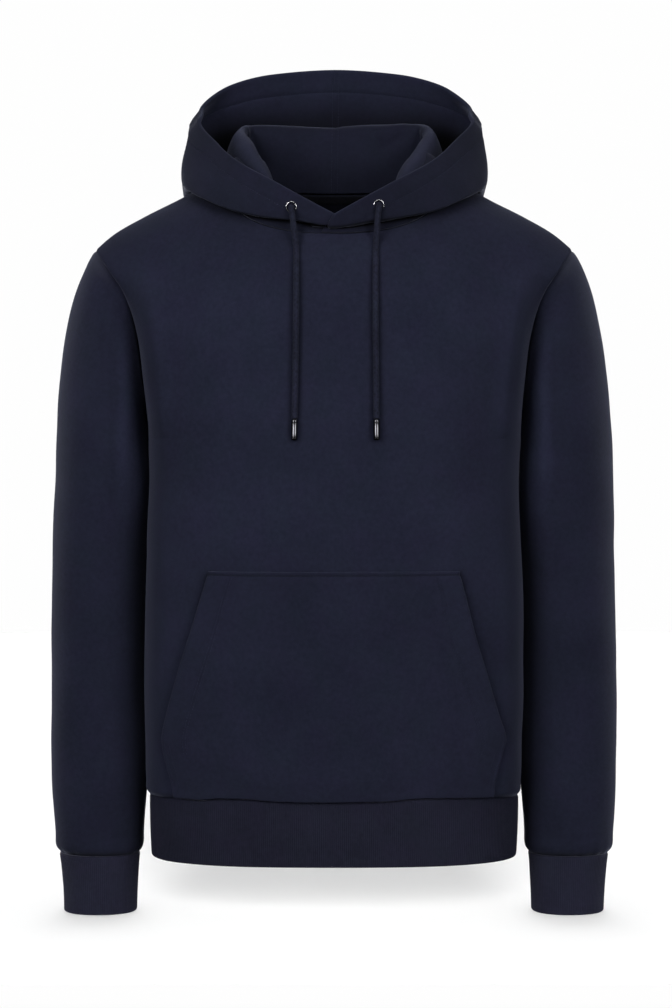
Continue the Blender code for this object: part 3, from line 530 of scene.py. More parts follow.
def body_xyz(face, v, s):
    """The front (-1) or back (+1).  v: 0 hem seam, 1 underarm, 2 shoulder and neck.  s: 0 middle,
    1 side seam or armhole; its sign is the side."""
    v, s = np.broadcast_arrays(np.asarray(v, float), np.asarray(s, float))
    side, s = np.where(s < 0, -1.0, 1.0), np.abs(s)
    name = "front" if face < 0 else "back"
    z1 = lerp(HEM_SEAM_Z, UNDERARM_Z, np.clip(v, 0, 1))
    n1 = body.at("square", z1)
    g = np.sin(s * PI / 2) ** (2 / n1)
    x1 = body.at("side", z1) * g
    y1 = np.where(s >= 1, 0.0, face * body.at(name, z1)
                  * np.maximum(1 - g ** n1, 0.0) ** (1 / n1))
    psi = np.clip(v - 1, 0, 1) * PI
    eta = (1 - np.cos(psi)) / 2
    tx, tz = neck_point(face, s / NECK_SHARE)
    sx = lerp(NECK_X, TIP_X, np.clip((s - NECK_SHARE) / (1 - NECK_SHARE), 0, 1))
    out = s > NECK_SHARE
    top_x, top_z = np.where(out, sx, tx), np.where(out, shoulder.at("z", sx), tz)
    z2 = lerp(UNDERARM_Z, top_z, eta)
    n = float(body.at("square", UNDERARM_Z))
    low_x, up = float(armhole.at("x", UNDERARM_Z)), eta * eta
    x2 = lerp(low_x * np.sin(s * PI / 2) ** (2 / n), top_x, up)
    x2 = x2 + (armhole.at("x", edge_z(psi)) - lerp(low_x, TIP_X, up)) * s ** 3
    tip = (s >= 1) & (v >= 2)
    x2, z2 = np.where(tip, TIP_X, x2), np.where(tip, TIP_Z, z2)
    y2 = surface_y(face, x2, z2, reach_at(face, psi))
    y2 = np.where((s >= NECK_SHARE - 1e-9) & (v >= 2), RIDGE_Y, y2)
    low = v <= 1
    return np.stack([side * np.where(low, x1, x2), np.where(low, y1, y2),
                     np.where(low, z1, z2)], -1)


def neck_3d(at):
    face_share = np.where(at <= 1, at, 2 - at)
    xf, zf = neck_point(-1, face_share)
    xb, zb = neck_point(1, face_share)
    yf = surface_y(-1, xf, zf, reach_at(-1, PI))
    yb = surface_y(1, xb, zb, reach_at(1, PI))
    front = at <= 1
    y = np.where(front, yf, yb)
    y = np.where(face_share >= 1, RIDGE_Y, y)
    return np.stack([np.where(front, xf, xb), y, np.where(front, zf, zb)], -1)


def hood_xyz(at, m):
    """The hood's net: at runs 0 front, 1 shoulder, 2 back; m 0 neck seam, 1 ridge, 2 fold,
    3 face edge."""
    at, m = np.broadcast_arrays(np.asarray(at, float), np.asarray(m, float))
    n = neck_3d(at)
    get = lambda c: hood.at(c, at)
    ridge = np.stack([get("ridge_x"), get("ridge_y"), get("ridge_z")], -1)
    fold = np.stack([get("fold_x"), get("fold_y"), get("fold_z")], -1)
    rim = np.stack([get("rim_x"), get("rim_y"), get("rim_z")], -1)
    a = np.radians(get("out"))
    out = np.stack([np.sin(a), -np.cos(a), 0 * a], -1)
    rise = np.zeros_like(n)
    rise[..., 2] = np.linalg.norm(ridge - n, axis=-1)
    lines = ((n, lerp(ridge - n, rise, 0.8)), (ridge, out * get("over")[..., None]),
             (fold, out * get("under")[..., None]), (rim, (rim - fold) * 0.7))
    k = np.clip(m.astype(int), 0, 2)
    result = np.zeros_like(n)
    for i in range(3):
        t = (m - i)[..., None]
        (p, tp), (q, tq) = lines[i], lines[i + 1]
        here = (p * (1 + 2 * t) * (1 - t) ** 2 + q * t * t * (3 - 2 * t)
                + tp * t * (1 - t) ** 2 + tq * t * t * (t - 1))
        result = np.where((k == i)[..., None], here, result)
    return result


# ---------------------------------------------------------------- meshes
def new_object(name, mesh, slot, node=None):
    obj = bpy.data.objects.new(name, mesh)
    scene.collection.objects.link(obj)
    mesh.materials.append(materials[slot])
    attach(obj, "root")
    if node:
        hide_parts(node)
    return obj


def raw_mesh(name, verts, faces, sizes, smooth_angle=60):
    """A mesh from a flat list of corners and how many corners each face has."""
    mesh = bpy.data.meshes.new(name)
    mesh.vertices.add(len(verts))
    mesh.vertices.foreach_set("co", (np.asarray(verts, float) * MM).ravel())
    mesh.loops.add(len(faces))
    mesh.loops.foreach_set("vertex_index", np.asarray(faces, np.int32))
    mesh.polygons.add(len(sizes))
    starts = np.concatenate([[0], np.cumsum(sizes)[:-1]])
    mesh.polygons.foreach_set("loop_start", starts.astype(np.int32))
    mesh.update(calc_edges=True)
    mesh.shade_smooth()
    mesh.set_sharp_from_angle(angle=math.radians(smooth_angle))
    return mesh


def volume(verts, quads):
    a, b, c, d = (verts[quads[:, k]] for k in range(4))
    return (np.einsum("ij,ij->i", a, np.cross(b, c)) + np.einsum("ij,ij->i", a, np.cross(c, d))).sum()


def wall(name, outer, inner, slot, ring=False, node=None, knit=None, angle=60, inner_knit=None):
    """A closed wall of cloth between two skins on the same net.  knit gives each net point its
    place on the cloth: across, along, and a third value that holds how high it stands on a rib
    and the painted shade and painted highlight of its colour."""
    rows, cols = outer.shape[:2]
    wide = cols + 1 if ring else cols
    pick = np.arange(wide) % cols
    at = lambda skin, i, j: skin * rows * cols + i * cols + pick[j]
    i, j = np.meshgrid(np.arange(rows - 1), np.arange(wide - 1), indexing="ij")
    i, j = i.ravel(), j.ravel()
    net = [np.stack([at(0, i, j), at(0, i, j + 1), at(0, i + 1, j + 1), at(0, i + 1, j)], 1),
           np.stack([at(1, i, j), at(1, i + 1, j), at(1, i + 1, j + 1), at(1, i, j + 1)], 1)]
    ij = [(i, j), (i, j + 1), (i + 1, j + 1), (i + 1, j)]
    ji = [(i, j), (i + 1, j), (i + 1, j + 1), (i, j + 1)]
    corners = [ij, ji]
    e = np.arange(wide - 1)
    for r, flip in ((0, False), (rows - 1, True)):
        q = [at(0, r, e), at(1, r, e), at(1, r, e + 1), at(0, r, e + 1)]
        c = [(r + 0 * e, e), (r + 0 * e, e), (r + 0 * e, e + 1), (r + 0 * e, e + 1)]
        net.append(np.stack(q[::-1] if flip else q, 1))
        corners.append(c[::-1] if flip else c)
    if not ring:
        e = np.arange(rows - 1)
        for k, flip in ((0, True), (cols - 1, False)):
            q = [at(0, e, k + 0 * e), at(1, e, k + 0 * e), at(1, e + 1, k + 0 * e),
                 at(0, e + 1, k + 0 * e)]
            c = [(e, k + 0 * e), (e, k + 0 * e), (e + 1, k + 0 * e), (e + 1, k + 0 * e)]
            net.append(np.stack(q[::-1] if flip else q, 1))
            corners.append(c[::-1] if flip else c)
    quads = np.concatenate(net)
    verts = np.concatenate([outer.reshape(-1, 3), inner.reshape(-1, 3)])
    flipped = volume(verts, quads) < 0
    if flipped:
        quads = quads[:, ::-1]
    mesh = raw_mesh(name, verts, quads.ravel(), np.full(len(quads), 4), angle)
    if knit is not None:
        # the ring's last quads read the far edge of the cloth, not its first column again
        wide_knit = knit if not ring else np.concatenate(
            [knit, knit[:, :1] + np.array((knit[0, -1, 0] - knit[0, -2, 0]
                                           + knit[0, -1, 0] - knit[0, 0, 0], 0, 0))], 1)
        values = []
        for k, c in enumerate(corners):
            source = inner_knit if inner_knit is not None and k == 1 else wide_knit
            v = np.stack([source[a, b] for a, b in c], 1)
            values.append(v)
        values = np.concatenate(values)
        if flipped:
            values = values[:, ::-1]
        layer = mesh.attributes.new("knit", "FLOAT_VECTOR", "CORNER")
        layer.data.foreach_set("vector", values.reshape(-1).astype(np.float32))
    return new_object(name, mesh, slot, node)


def knit_of(grid, height=None):
    """Place of each net point on its cloth, in millimetres; the third value, height, holds a rib's
    height and painted shade and painted highlight.
    """
    across = run_along(grid, 1)
    along = run_along(grid, 0)
    mid = across.shape[0] // 2
    u = np.broadcast_to(across[mid], across.shape)
    h = np.zeros_like(u) if height is None else height
    return np.stack([u, along, h], -1)


def tube(name, path, radius, slot, sides=24, node=None, relief=None, rings=None):
    """A round cord along a path with rounded ends; relief(u, angle) is added to the radius."""
    p = np.asarray(path, float)
    run = np.concatenate([[0], np.cumsum(np.linalg.norm(np.diff(p, axis=0), axis=1))])
    count = rings or max(int(run[-1] / 1.0), 12)
    u = np.linspace(0, run[-1], count)
    c = spline(run, p, u)
    t = unit(np.gradient(c, axis=0))
    side = unit(np.cross(t, (0.0, 1.0, 0.02)))
    up = unit(np.cross(side, t))
    th = np.arange(sides) / sides * 2 * PI
    rad = np.full((count, sides), float(radius))
    if relief is not None:
        rad += relief(u[:, None], th[None])
    close = np.sqrt(np.maximum(1 - (1 - np.clip(np.minimum(u, run[-1] - u) / (radius * 0.6), 0, 1))
                               ** 2, 0.02))
    rad *= close[:, None]
    net = c[:, None] + rad[..., None] * (side[:, None] * np.cos(th)[None, :, None]
                                         + up[:, None] * np.sin(th)[None, :, None])
    verts = np.concatenate([net.reshape(-1, 3), c[[0, -1]]])
    i, j = np.meshgrid(np.arange(count - 1), np.arange(sides), indexing="ij")
    i, j = i.ravel(), j.ravel()
    k = (j + 1) % sides
    quads = np.stack([i * sides + j, i * sides + k, (i + 1) * sides + k, (i + 1) * sides + j], 1)
    e = np.arange(sides)
    f = (e + 1) % sides
    base = (count - 1) * sides
    tris = np.concatenate([
        np.stack([f, e, np.full(sides, count * sides)], 1),
        np.stack([base + e, base + f, np.full(sides, count * sides + 1)], 1)])
    if volume(verts, quads) < 0:
        quads, tris = quads[:, ::-1], tris[:, ::-1]
    flat = np.concatenate([quads.ravel(), tris.ravel()])
    sizes = np.concatenate([np.full(len(quads), 4), np.full(len(tris), 3)])
    mesh = raw_mesh(name, verts, flat, sizes, 80)
    # the third value, the braid's relief, makes the cord's material paint its hollows darker, a painted
    # shade
    values = np.stack([np.broadcast_to(th[None] * radius, rad.shape),
                       np.broadcast_to(u[:, None], rad.shape), (rad / radius - 1) * 10], -1)
    values = np.concatenate([values.reshape(-1, 3), np.zeros((2, 3))])
    layer = mesh.attributes.new("knit", "FLOAT_VECTOR", "POINT")
    layer.data.foreach_set("vector", values.reshape(-1).astype(np.float32))
    return new_object(name, mesh, slot, node)


def turned(name, profile, slot, origin, axis, steps=48, node=None, closed=False):
    """A turned piece from its profile (radius, height), the heights along axis."""
    profile = np.array(profile, float)
    z = unit(axis)
    x = unit(np.cross(z, (0.3, 1.0, 0.2)))
    y = np.cross(z, x)
    th = np.arange(steps) / steps * 2 * PI
    ring = np.cos(th)[:, None] * x + np.sin(th)[:, None] * y
    net = np.asarray(origin, float) + profile[:, None, :1] * ring[None] \
        + profile[:, None, 1:] * z
    n = len(profile)
    verts = net.reshape(-1, 3)
    last = n if closed else n - 1
    i, j = np.meshgrid(np.arange(last), np.arange(steps), indexing="ij")
    i, j = i.ravel(), j.ravel()
    k, i2 = (j + 1) % steps, (i + 1) % n
    quads = np.stack([i * steps + j, i * steps + k, i2 * steps + k, i2 * steps + j], 1)
    flat, sizes = [quads], np.full(len(quads), 4)
    turned_over = volume(verts, quads) < 0
    if turned_over:
        flat = [quads[:, ::-1]]
    parts = [flat[0].ravel()]
    if not closed:
        e = np.arange(steps)
        low, high = e[::-1], (n - 1) * steps + e
        if turned_over:
            low, high = low[::-1], high[::-1]
        parts += [low, high]
        sizes = np.concatenate([sizes, [steps, steps]])
    mesh = raw_mesh(name, verts, np.concatenate(parts), sizes, 40)
    return new_object(name, mesh, slot, node)


def stitches(name, lines, slot, pitch=STITCH_PITCH, thick=STITCH_D, lift=0.12):
    """Rows of stitches as one mesh: each is a short thread that dips into the cloth at its ends.
    lines holds (points, normals) pairs."""
    verts, tris, count = [], [], 0
    sides = 5
    th = np.arange(sides) / sides * 2 * PI
    for pts, nors in lines:
        pts, nors = np.asarray(pts, float), np.asarray(nors, float)
        run = np.concatenate([[0], np.cumsum(np.linalg.norm(np.diff(pts, axis=0), axis=1))])
        n = int(run[-1] / pitch)
        if n < 1:
            continue
        starts = (np.arange(n) + 0.5 * (run[-1] / pitch - n)) * pitch
        where = starts[:, None] + pitch * np.array((0.06, 0.26, 0.5, 0.74, 0.94))[None]
        q = np.stack([np.interp(where, run, pts[:, c]) for c in range(3)], -1)
        m = unit(np.stack([np.interp(where, run, nors[:, c]) for c in range(3)], -1))
        t = unit(q[:, -1:] - q[:, :1])
        b = unit(np.cross(t, m))
        height = np.array((-0.35, 0.05, 0.18, 0.05, -0.35)) * thick / 0.55 + lift
        radius = np.array((0.3, 0.85, 1.0, 0.85, 0.3)) * thick / 2
        c = q + m * height[None, :, None]
        ring = c[:, :, None] + radius[None, :, None, None] * (
            b[:, :, None] * np.cos(th)[None, None, :, None]
            + m[:, :, None] * np.sin(th)[None, None, :, None])
        verts.append(ring.reshape(-1, 3))
        s, i, j = np.meshgrid(np.arange(n), np.arange(4), np.arange(sides), indexing="ij")
        s, i, j = s.ravel(), i.ravel(), j.ravel()
        k = (j + 1) % sides
        at = lambda a, b_: count + s * 5 * sides + a * sides + b_
        tris.append(np.stack([at(i, j), at(i, k), at(i + 1, k)], 1))
        tris.append(np.stack([at(i, j), at(i + 1, k), at(i + 1, j)], 1))
        s, j = np.meshgrid(np.arange(n), np.arange(1, sides - 1), indexing="ij")
        s, j = s.ravel(), j.ravel()
        at = lambda a, b_: count + s * 5 * sides + a * sides + b_
        tris.append(np.stack([at(0, 0 * j), at(0, j + 1), at(0, j)], 1))
        tris.append(np.stack([at(4, 0 * j), at(4, j), at(4, j + 1)], 1))
        count += n * 5 * sides
    verts, tris = np.concatenate(verts), np.concatenate(tris)
    a, b, c = (verts[tris[:, k]] for k in range(3))
    if np.einsum("ij,ij->i", a, np.cross(b, c)).sum() < 0:
        tris = tris[:, ::-1]
    mesh = raw_mesh(name, verts, tris.ravel(), np.full(len(tris), 3), 80)
    return new_object(name, mesh, slot)


# ---------------------------------------------------------------- materials
def node_maker(tree):
    def make(kind, **values):
        node = tree.nodes.new(kind)
        for key, value in values.items():
            if key in node.inputs:
                node.inputs[key].default_value = value
            else:
                setattr(node, key.lower(), value)
        return node
    return make


def base_material(name, rough, metallic=0.0, level=0.5):
    mat = bpy.data.materials.new(name + "_finish")
    mat.use_nodes = True
    bsdf = mat.node_tree.nodes["Principled BSDF"]
    bsdf.inputs["Roughness"].default_value = rough
    bsdf.inputs["Metallic"].default_value = metallic
    bsdf.inputs["Specular IOR Level"].default_value = level
    return mat, mat.node_tree, bsdf, node_maker(mat.node_tree)


def math_node(make, link, kind, a, b=None):
    node = make("ShaderNodeMath", operation=kind)
    for k, v in enumerate((a, b)):
        if v is None:
            continue
        if isinstance(v, (int, float)):
            node.inputs[k].default_value = v
        else:
            link(v, node.inputs[k])
    return node.outputs[0]


def cloth_material(name, dark, light, level, sheen, sheen_tint, wale, course, relief, rib=0.0,
                   slub=0.12):
    """Knitted cloth: wales and courses laid along the cloth's own net, short fibres, and a slow
    change of tone over the garment.  The gaps between the knit's loops and, with rib, the hollows
    between the ribs are painted darker, a painted shade."""
    mat, tree, bsdf, make = base_material(name, 0.94, 0.0, level)
    link = tree.links.new
    bsdf.inputs["Sheen Weight"].default_value = sheen
    bsdf.inputs["Sheen Roughness"].default_value = 0.40
    bsdf.inputs["Sheen Tint"].default_value = (*sheen_tint, 1)
    knit = make("ShaderNodeAttribute", attribute_name="knit")
    split = make("ShaderNodeSeparateXYZ")
    link(knit.outputs["Vector"], split.inputs[0])
    u, w, h = split.outputs
    m = lambda kind, a, b=None: math_node(make, link, kind, a, b)
    # wales: legs of the stitches lean one way and then the other, one pair to a wale
    across = m("MULTIPLY", u, 2 * PI / wale)
    lean = m("MULTIPLY", m("ABSOLUTE", m("SINE", m("MULTIPLY", across, 0.5))), 1.6)
    down = m("ADD", m("MULTIPLY", w, 2 * PI / course), lean)
    loops = m("MULTIPLY", m("ADD", m("SINE", down), 1.0), 0.5)
    gaps = m("ABSOLUTE", m("SINE", m("MULTIPLY", across, 0.5)))
    knit_height = m("ADD", m("MULTIPLY", loops, 0.45), m("MULTIPLY", gaps, 0.55))
    place = make("ShaderNodeTexCoord")
    fibre = make("ShaderNodeTexNoise", Scale=1500.0, Detail=3.0, Roughness=0.65)
    link(place.outputs["Object"], fibre.inputs["Vector"])
    cloud = make("ShaderNodeTexNoise", Scale=14.0, Detail=3.0, Roughness=0.55)
    link(place.outputs["Object"], cloud.inputs["Vector"])
    patch = make("ShaderNodeTexNoise", Scale=240.0, Detail=2.0, Roughness=0.6)
    link(place.outputs["Object"], patch.inputs["Vector"])
    height = m("ADD", m("MULTIPLY", knit_height, 0.6), m("MULTIPLY", fibre.outputs[0], 0.7))
    tone = m("ADD", m("MULTIPLY", cloud.outputs[0], 1.0),
             m("ADD", m("MULTIPLY", fibre.outputs[0], slub * 2.2),
               m("MULTIPLY", patch.outputs[0], 1.0)))
    tone = m("SUBTRACT", tone, 0.42)
    # painted shade: darker in the gaps between the knit's loops
    tone = m("ADD", tone, m("MULTIPLY", knit_height, 0.16))
    # with rib, painted shade in the hollows between the ribs
    if rib:
        tone = m("ADD", tone, m("MULTIPLY", h, rib))
    # painted shade and painted highlight from the knit's third value: the colour is made darker in
    # seams and folds and where little light has reached the cloth, and paler on rolled edges; on ribs
    # only what lies below the hollows counts, as painted shade in the seams
    if rib:
        painted_light_factor = m("ADD", m("MINIMUM", m("ADD", h, 1.0), 0.0), 1.0)
    else:
        painted_light_factor = m("MINIMUM", m("MAXIMUM", m("ADD", h, 1.0), 0.06), 1.8)
    ramp = make("ShaderNodeMapRange")
    ramp.inputs["From Min"].default_value = 0.45
    ramp.inputs["From Max"].default_value = 1.15
    link(tone, ramp.inputs["Value"])
    mix = make("ShaderNodeMix", data_type="RGBA")
    mix.inputs["A"].default_value = (*dark, 1)
    mix.inputs["B"].default_value = (*light, 1)
    colour_in = [s for s in mix.inputs if s.type == "RGBA"]
    colour_in[0].default_value = (*dark, 1)
    colour_in[1].default_value = (*light, 1)
    link(ramp.outputs[0], mix.inputs["Factor"])
    # slow drift of the dye towards violet or grey
    drift = make("ShaderNodeTexNoise", Scale=34.0, Detail=2.0, Roughness=0.5)
    link(place.outputs["Object"], drift.inputs["Vector"])
    tint = make("ShaderNodeMapRange")
    tint.inputs["From Min"].default_value = 0.3
    tint.inputs["From Max"].default_value = 0.7
    link(drift.outputs[0], tint.inputs["Value"])
    dye = make("ShaderNodeMix", data_type="RGBA")
    dye_in = [s for s in dye.inputs if s.type == "RGBA"]
    dye_in[0].default_value = (0.97, 1.03, 0.98, 1)
    dye_in[1].default_value = (1.04, 0.98, 1.03, 1)
    link(tint.outputs[0], dye.inputs["Factor"])
    dyed = make("ShaderNodeMix", data_type="RGBA", blend_type="MULTIPLY")
    dyed.inputs["Factor"].default_value = 1.0
    dyed_in = [s for s in dyed.inputs if s.type == "RGBA"]
    link([s for s in mix.outputs if s.type == "RGBA"][0], dyed_in[0])
    link([s for s in dye.outputs if s.type == "RGBA"][0], dyed_in[1])
    colour = [s for s in dyed.outputs if s.type == "RGBA"][0]
    grey = make("ShaderNodeCombineXYZ")
    for k in range(3):
        link(painted_light_factor, grey.inputs[k])
    deep = make("ShaderNodeMix", data_type="RGBA", blend_type="MULTIPLY")
    deep.inputs["Factor"].default_value = 1.0
    deep_in = [s for s in deep.inputs if s.type == "RGBA"]
    link(colour, deep_in[0])
    link(grey.outputs[0], deep_in[1])
    colour = [s for s in deep.outputs if s.type == "RGBA"][0]
    link(colour, bsdf.inputs["Base Color"])
    bumps = make("ShaderNodeBump", Strength=relief, Distance=0.0003)
    link(height, bumps.inputs["Height"])
    link(bumps.outputs[0], bsdf.inputs["Normal"])
    return mat


def metal_material(name, colour, rough, marks):
    mat, tree, bsdf, make = base_material(name, rough, 1.0)
    link = tree.links.new
    place = make("ShaderNodeTexCoord")
    noise = make("ShaderNodeTexNoise", Scale=3000.0, Detail=2.0, Roughness=0.5)
    link(place.outputs["Object"], noise.inputs["Vector"])
    ramp = make("ShaderNodeMapRange")
    ramp.inputs["To Min"].default_value = rough * 0.75
    ramp.inputs["To Max"].default_value = rough * 1.35
    link(noise.outputs[0], ramp.inputs["Value"])
    link(ramp.outputs[0], bsdf.inputs["Roughness"])
    mix = make("ShaderNodeMix", data_type="RGBA")
    colour_in = [s for s in mix.inputs if s.type == "RGBA"]
    colour_in[0].default_value = (*(c * 0.86 for c in colour), 1)
    colour_in[1].default_value = (*colour, 1)
    link(noise.outputs[0], mix.inputs["Factor"])
    link([s for s in mix.outputs if s.type == "RGBA"][0], bsdf.inputs["Base Color"])
    bumps = make("ShaderNodeBump", Strength=marks, Distance=0.00005)
    link(noise.outputs[0], bumps.inputs["Height"])
    link(bumps.outputs[0], bsdf.inputs["Normal"])
    return mat


materials = {
    "fleece": cloth_material("fleece", (0.0078, 0.0089, 0.0193), (0.0128, 0.0145, 0.0300), 0.10,
                             0.18, (0.58, 0.62, 0.86), 1.15, 0.85, 0.35),
    "rib": cloth_material("rib", (0.0072, 0.0076, 0.0158), (0.0132, 0.0138, 0.0268), 0.10,
                          0.18, (0.62, 0.62, 0.80), 1.03, 0.90, 0.35, rib=0.22),
    # about half as bright as the fleece, a painted shade for the inside of the neck
    "tape": cloth_material("tape", (0.0034, 0.0038, 0.0062), (0.0068, 0.0074, 0.0118), 0.12,
                           0.05, (0.6, 0.6, 0.7), 1.6, 1.2, 0.6),
    "cord": cloth_material("cord", (0.0045, 0.0052, 0.0118), (0.0150, 0.0170, 0.0345), 0.16,
                           0.05, (0.55, 0.60, 0.85), 1.2, 1.0, 0.4, rib=0.25),
    "nickel": metal_material("nickel", (0.62, 0.62, 0.64), 0.20, 0.05),
    "gunmetal": metal_material("gunmetal", (0.10, 0.10, 0.11), 0.17, 0.08),
}


# ---------------------------------------------------------------- cords, eyelets and tips
def through(points, count):
    """Evenly spaced points on a smooth curve through the given ones."""
    p = np.array(points, float)
    d = np.concatenate([[0], np.cumsum(np.linalg.norm(np.diff(p, axis=0), axis=1) ** 0.5)])
    t = np.gradient(p, d, axis=0)
    fine = []
    for i in range(len(p) - 1):
        h = d[i + 1] - d[i]
        for k in range(24):
            u = k / 24
            fine.append(p[i] * (1 + 2 * u) * (1 - u) ** 2 + p[i + 1] * u * u * (3 - 2 * u)
                        + h * (t[i] * u * (1 - u) ** 2 + t[i + 1] * u * u * (u - 1)))
    fine = np.array(fine + [p[-1]])
    run = np.concatenate([[0], np.cumsum(np.linalg.norm(np.diff(fine, axis=0), axis=1))])
    want = np.linspace(0, run[-1], count)
    return np.array([[np.interp(w, run, fine[:, c]) for c in range(3)] for w in want]), run[-1]


def braid(u, th):
    """Strands of a 16-carrier braid crossing each other round the cord."""
    a = np.sin(4 * th + u * 2 * PI / 5.2)
    b = np.sin(4 * th - u * 2 * PI / 5.2)
    over = np.sin(u * 2 * PI / 5.2 * 2) > 0
    return 0.16 * np.where(over, np.maximum(a, b * 0.7), np.maximum(b, a * 0.7)) \
        - 0.05


def make_cords():
    for side, sign, column in (("left", 1, "x_left"), ("right", -1, "x_right")):
        at, m = (0.208, 2.555) if sign > 0 else (0.198, 2.53)
        p = hood_xyz(at, m)
        du = hood_xyz(at + 0.01, m) - hood_xyz(at - 0.01, m)
        dv = hood_xyz(at, m + 0.01) - hood_xyz(at, m - 0.01)
        n = unit(np.cross(du, dv))
        n = -n if n[1] > 0 else n
        p, n = p * (sign, 1, 1), n * (sign, 1, 1)
        # the ring's lower side is pressed into the cloth under the cord
        n = unit(n + np.array((0, 0, -0.40)))
        seat = p + n * ((1.6 if sign > 0 else 0.6) + 4.6)
        r_out, r_in, h = EYELET_OUT / 2 - 0.30, EYELET_IN / 2 + 0.55, EYELET_H - 0.2
        # rolled flange outside, barrel inside
        mid, half = (r_out + r_in) / 2, (r_out - r_in) / 2
        arc = np.linspace(0, PI, 13)
        profile = [(mid + half * math.cos(a), 0.05 + (h - 0.1) * math.sin(a) ** 0.8) for a in arc]
        profile += [(r_in, -0.9), (r_in + 0.5, -0.9), (r_in + 0.6, -0.1), (r_out - 0.4, -0.15)]
        turned("eyelet_ring_" + side, profile, "nickel", seat, n, 56,
               node="eyelet_" + side, closed=True)
        half = CORD_D / 2
        reach = reach_at(-1, PI * 0.6)

        def lay(z):
            x = float(cords.at(column, z))
            return np.array((x, float(surface_y(-1, abs(x), z, reach)) - half - 0.2, z))

        route = [seat + n * 0.3, seat + n * 3.0]
        bend = seat + n * 6.6 + np.array((sign * -1.6, 0, -6.5))
        route += [bend, lerp(bend, lay(-80.0), 0.5) + np.array((0, -2.2, 0)), lay(-80.0)]
        route += [lay(z) for z in (-100.0, -125.0, -160.0, -200.0, -230.0, CORD_END_Z)]
        points, length = through(route, 40)
        cord = tube("cord_" + side, points, CORD_D / 2, "cord", sides=32,
                    node="drawcord_" + side, relief=braid, rings=int(length / 0.6))
        end = points[-1]
        run = unit(points[-1] - points[-3])
        top = end + run * SEAM
        r = TIP_D / 2 - 0.25
        profile = [(0.4, -0.2), (r - 0.9, -0.2), (r - 0.35, 0.0), (r, 0.5), (r, 2.4),
                   (r - 0.22, 2.8), (r - 0.22, 3.1), (r, 3.5), (r, TIP_L - 1.6),
                   (r - 0.15, TIP_L - 0.8), (r - 0.6, TIP_L - 0.25), (r - 1.3, TIP_L),
                   (0.4, TIP_L)]
        tip = turned("tip_" + side, profile, "gunmetal", top, run, 40, node="aglet_" + side)


make_cords()


# ---------------------------------------------------------------- front and back
def spaced(*parts):
    """Joined runs of knots; each part is (from, to, count, power): power over 1 is finer first."""
    out = []
    for a, b, count, power in parts:
        t = np.arange(count) / count
        t = t ** power if power >= 1 else 1 - (1 - t) ** (1 / power)
        out.append(lerp(a, b, t))
    return np.concatenate(out + [[parts[-1][1]]])


BODY_ROWS = np.concatenate([
    np.array((0.0, 0.8, 1.8, 3.0, 4.4, 6.4, 9.0, 12.0, 15.5)) / 356.0,
    spaced((19.5 / 356, 1.0, 76, 1.0), (1.0, 2.0, 62, 1.0))])
_half = np.concatenate([spaced((0.0, NECK_SHARE, 32, 1.22), (NECK_SHARE, 0.93, 32, 0.85))[:-1],
                        np.array((0.93, 0.952, 0.970, 0.982, 0.990, 0.9955, 0.9985, 1.0))])
BODY_COLS = np.concatenate([-_half[:0:-1], _half])


def puckers(u, seed):
    """Small gathers beside a seam along u (mm)."""
    rng = np.random.default_rng(seed)
    out = 0 * u
    for _ in range(9):
        out = out + np.cos(u * 2 * PI / rng.uniform(9, 24) + rng.uniform(0, 2 * PI))
    return out / 3.2


def seam_wave(x, y):
    """How far the hem seam lies off its height at this place."""
    t = smooth((y + 20) / 40)
    return lerp(wave.at("front", x), wave.at("back", x), t)


def fold_line(at_from, at_to):
    """Across and height of the hood's lower edge, where it hangs over the body."""
    ats = np.linspace(at_from, at_to, 60)
    net = hood_xyz(ats[None], np.linspace(1.5, 2.6, 60)[:, None])
    low = np.argmin(net[..., 2], 0)
    x, z = net[low, np.arange(60), 0], net[low, np.arange(60), 2]
    order = np.argsort(x)
    return x[order], z[order] - 1.0


def body_shade(face, g):
    """Painted shade on the body's cloth: a painted shadow under the hood's edge, beside the cords
    and the pocket's openings, and along the hem seam."""
    x, z = fold_line(0.36, 1.0) if face < 0 else fold_line(1.02, 2.0)
    across = np.abs(g[..., 0])
    below = np.interp(across, x, z) - g[..., 2]
    window = smooth((x[-1] + 1 - across) / 6)
    if face < 0:
        window = window * smooth((across - 70) / 16)
    near = np.maximum(below, 0)
    shade = -window * (0.32 * bump(near, 2.2) + 0.36 * np.exp(-near / 8))
    if face < 0:
        for name in ("x_right", "x_left"):
            off = g[..., 0] - cords.at(name, g[..., 2])
            shade = shade - 0.34 * bump(off, 4.4) * smooth((-84 - g[..., 2]) / 20) \
                * smooth((g[..., 2] + 274) / 8)
        for name, sign in (("right", -1), ("left", 1)):
            off = sign * g[..., 0] - pocket.at(name, g[..., 2])
            shade = shade - (0.50 * bump(off - 0.4, 2.0) + 0.14 * bump(off - 2, 7)) \
                * smooth((-399 - g[..., 2]) / 3) * smooth((g[..., 2] + 590) / 30)
    d_hem = run_along(g, 0)
    shade = shade - 0.45 * bump(d_hem, 2.2)
    return np.maximum(shade, -0.85)


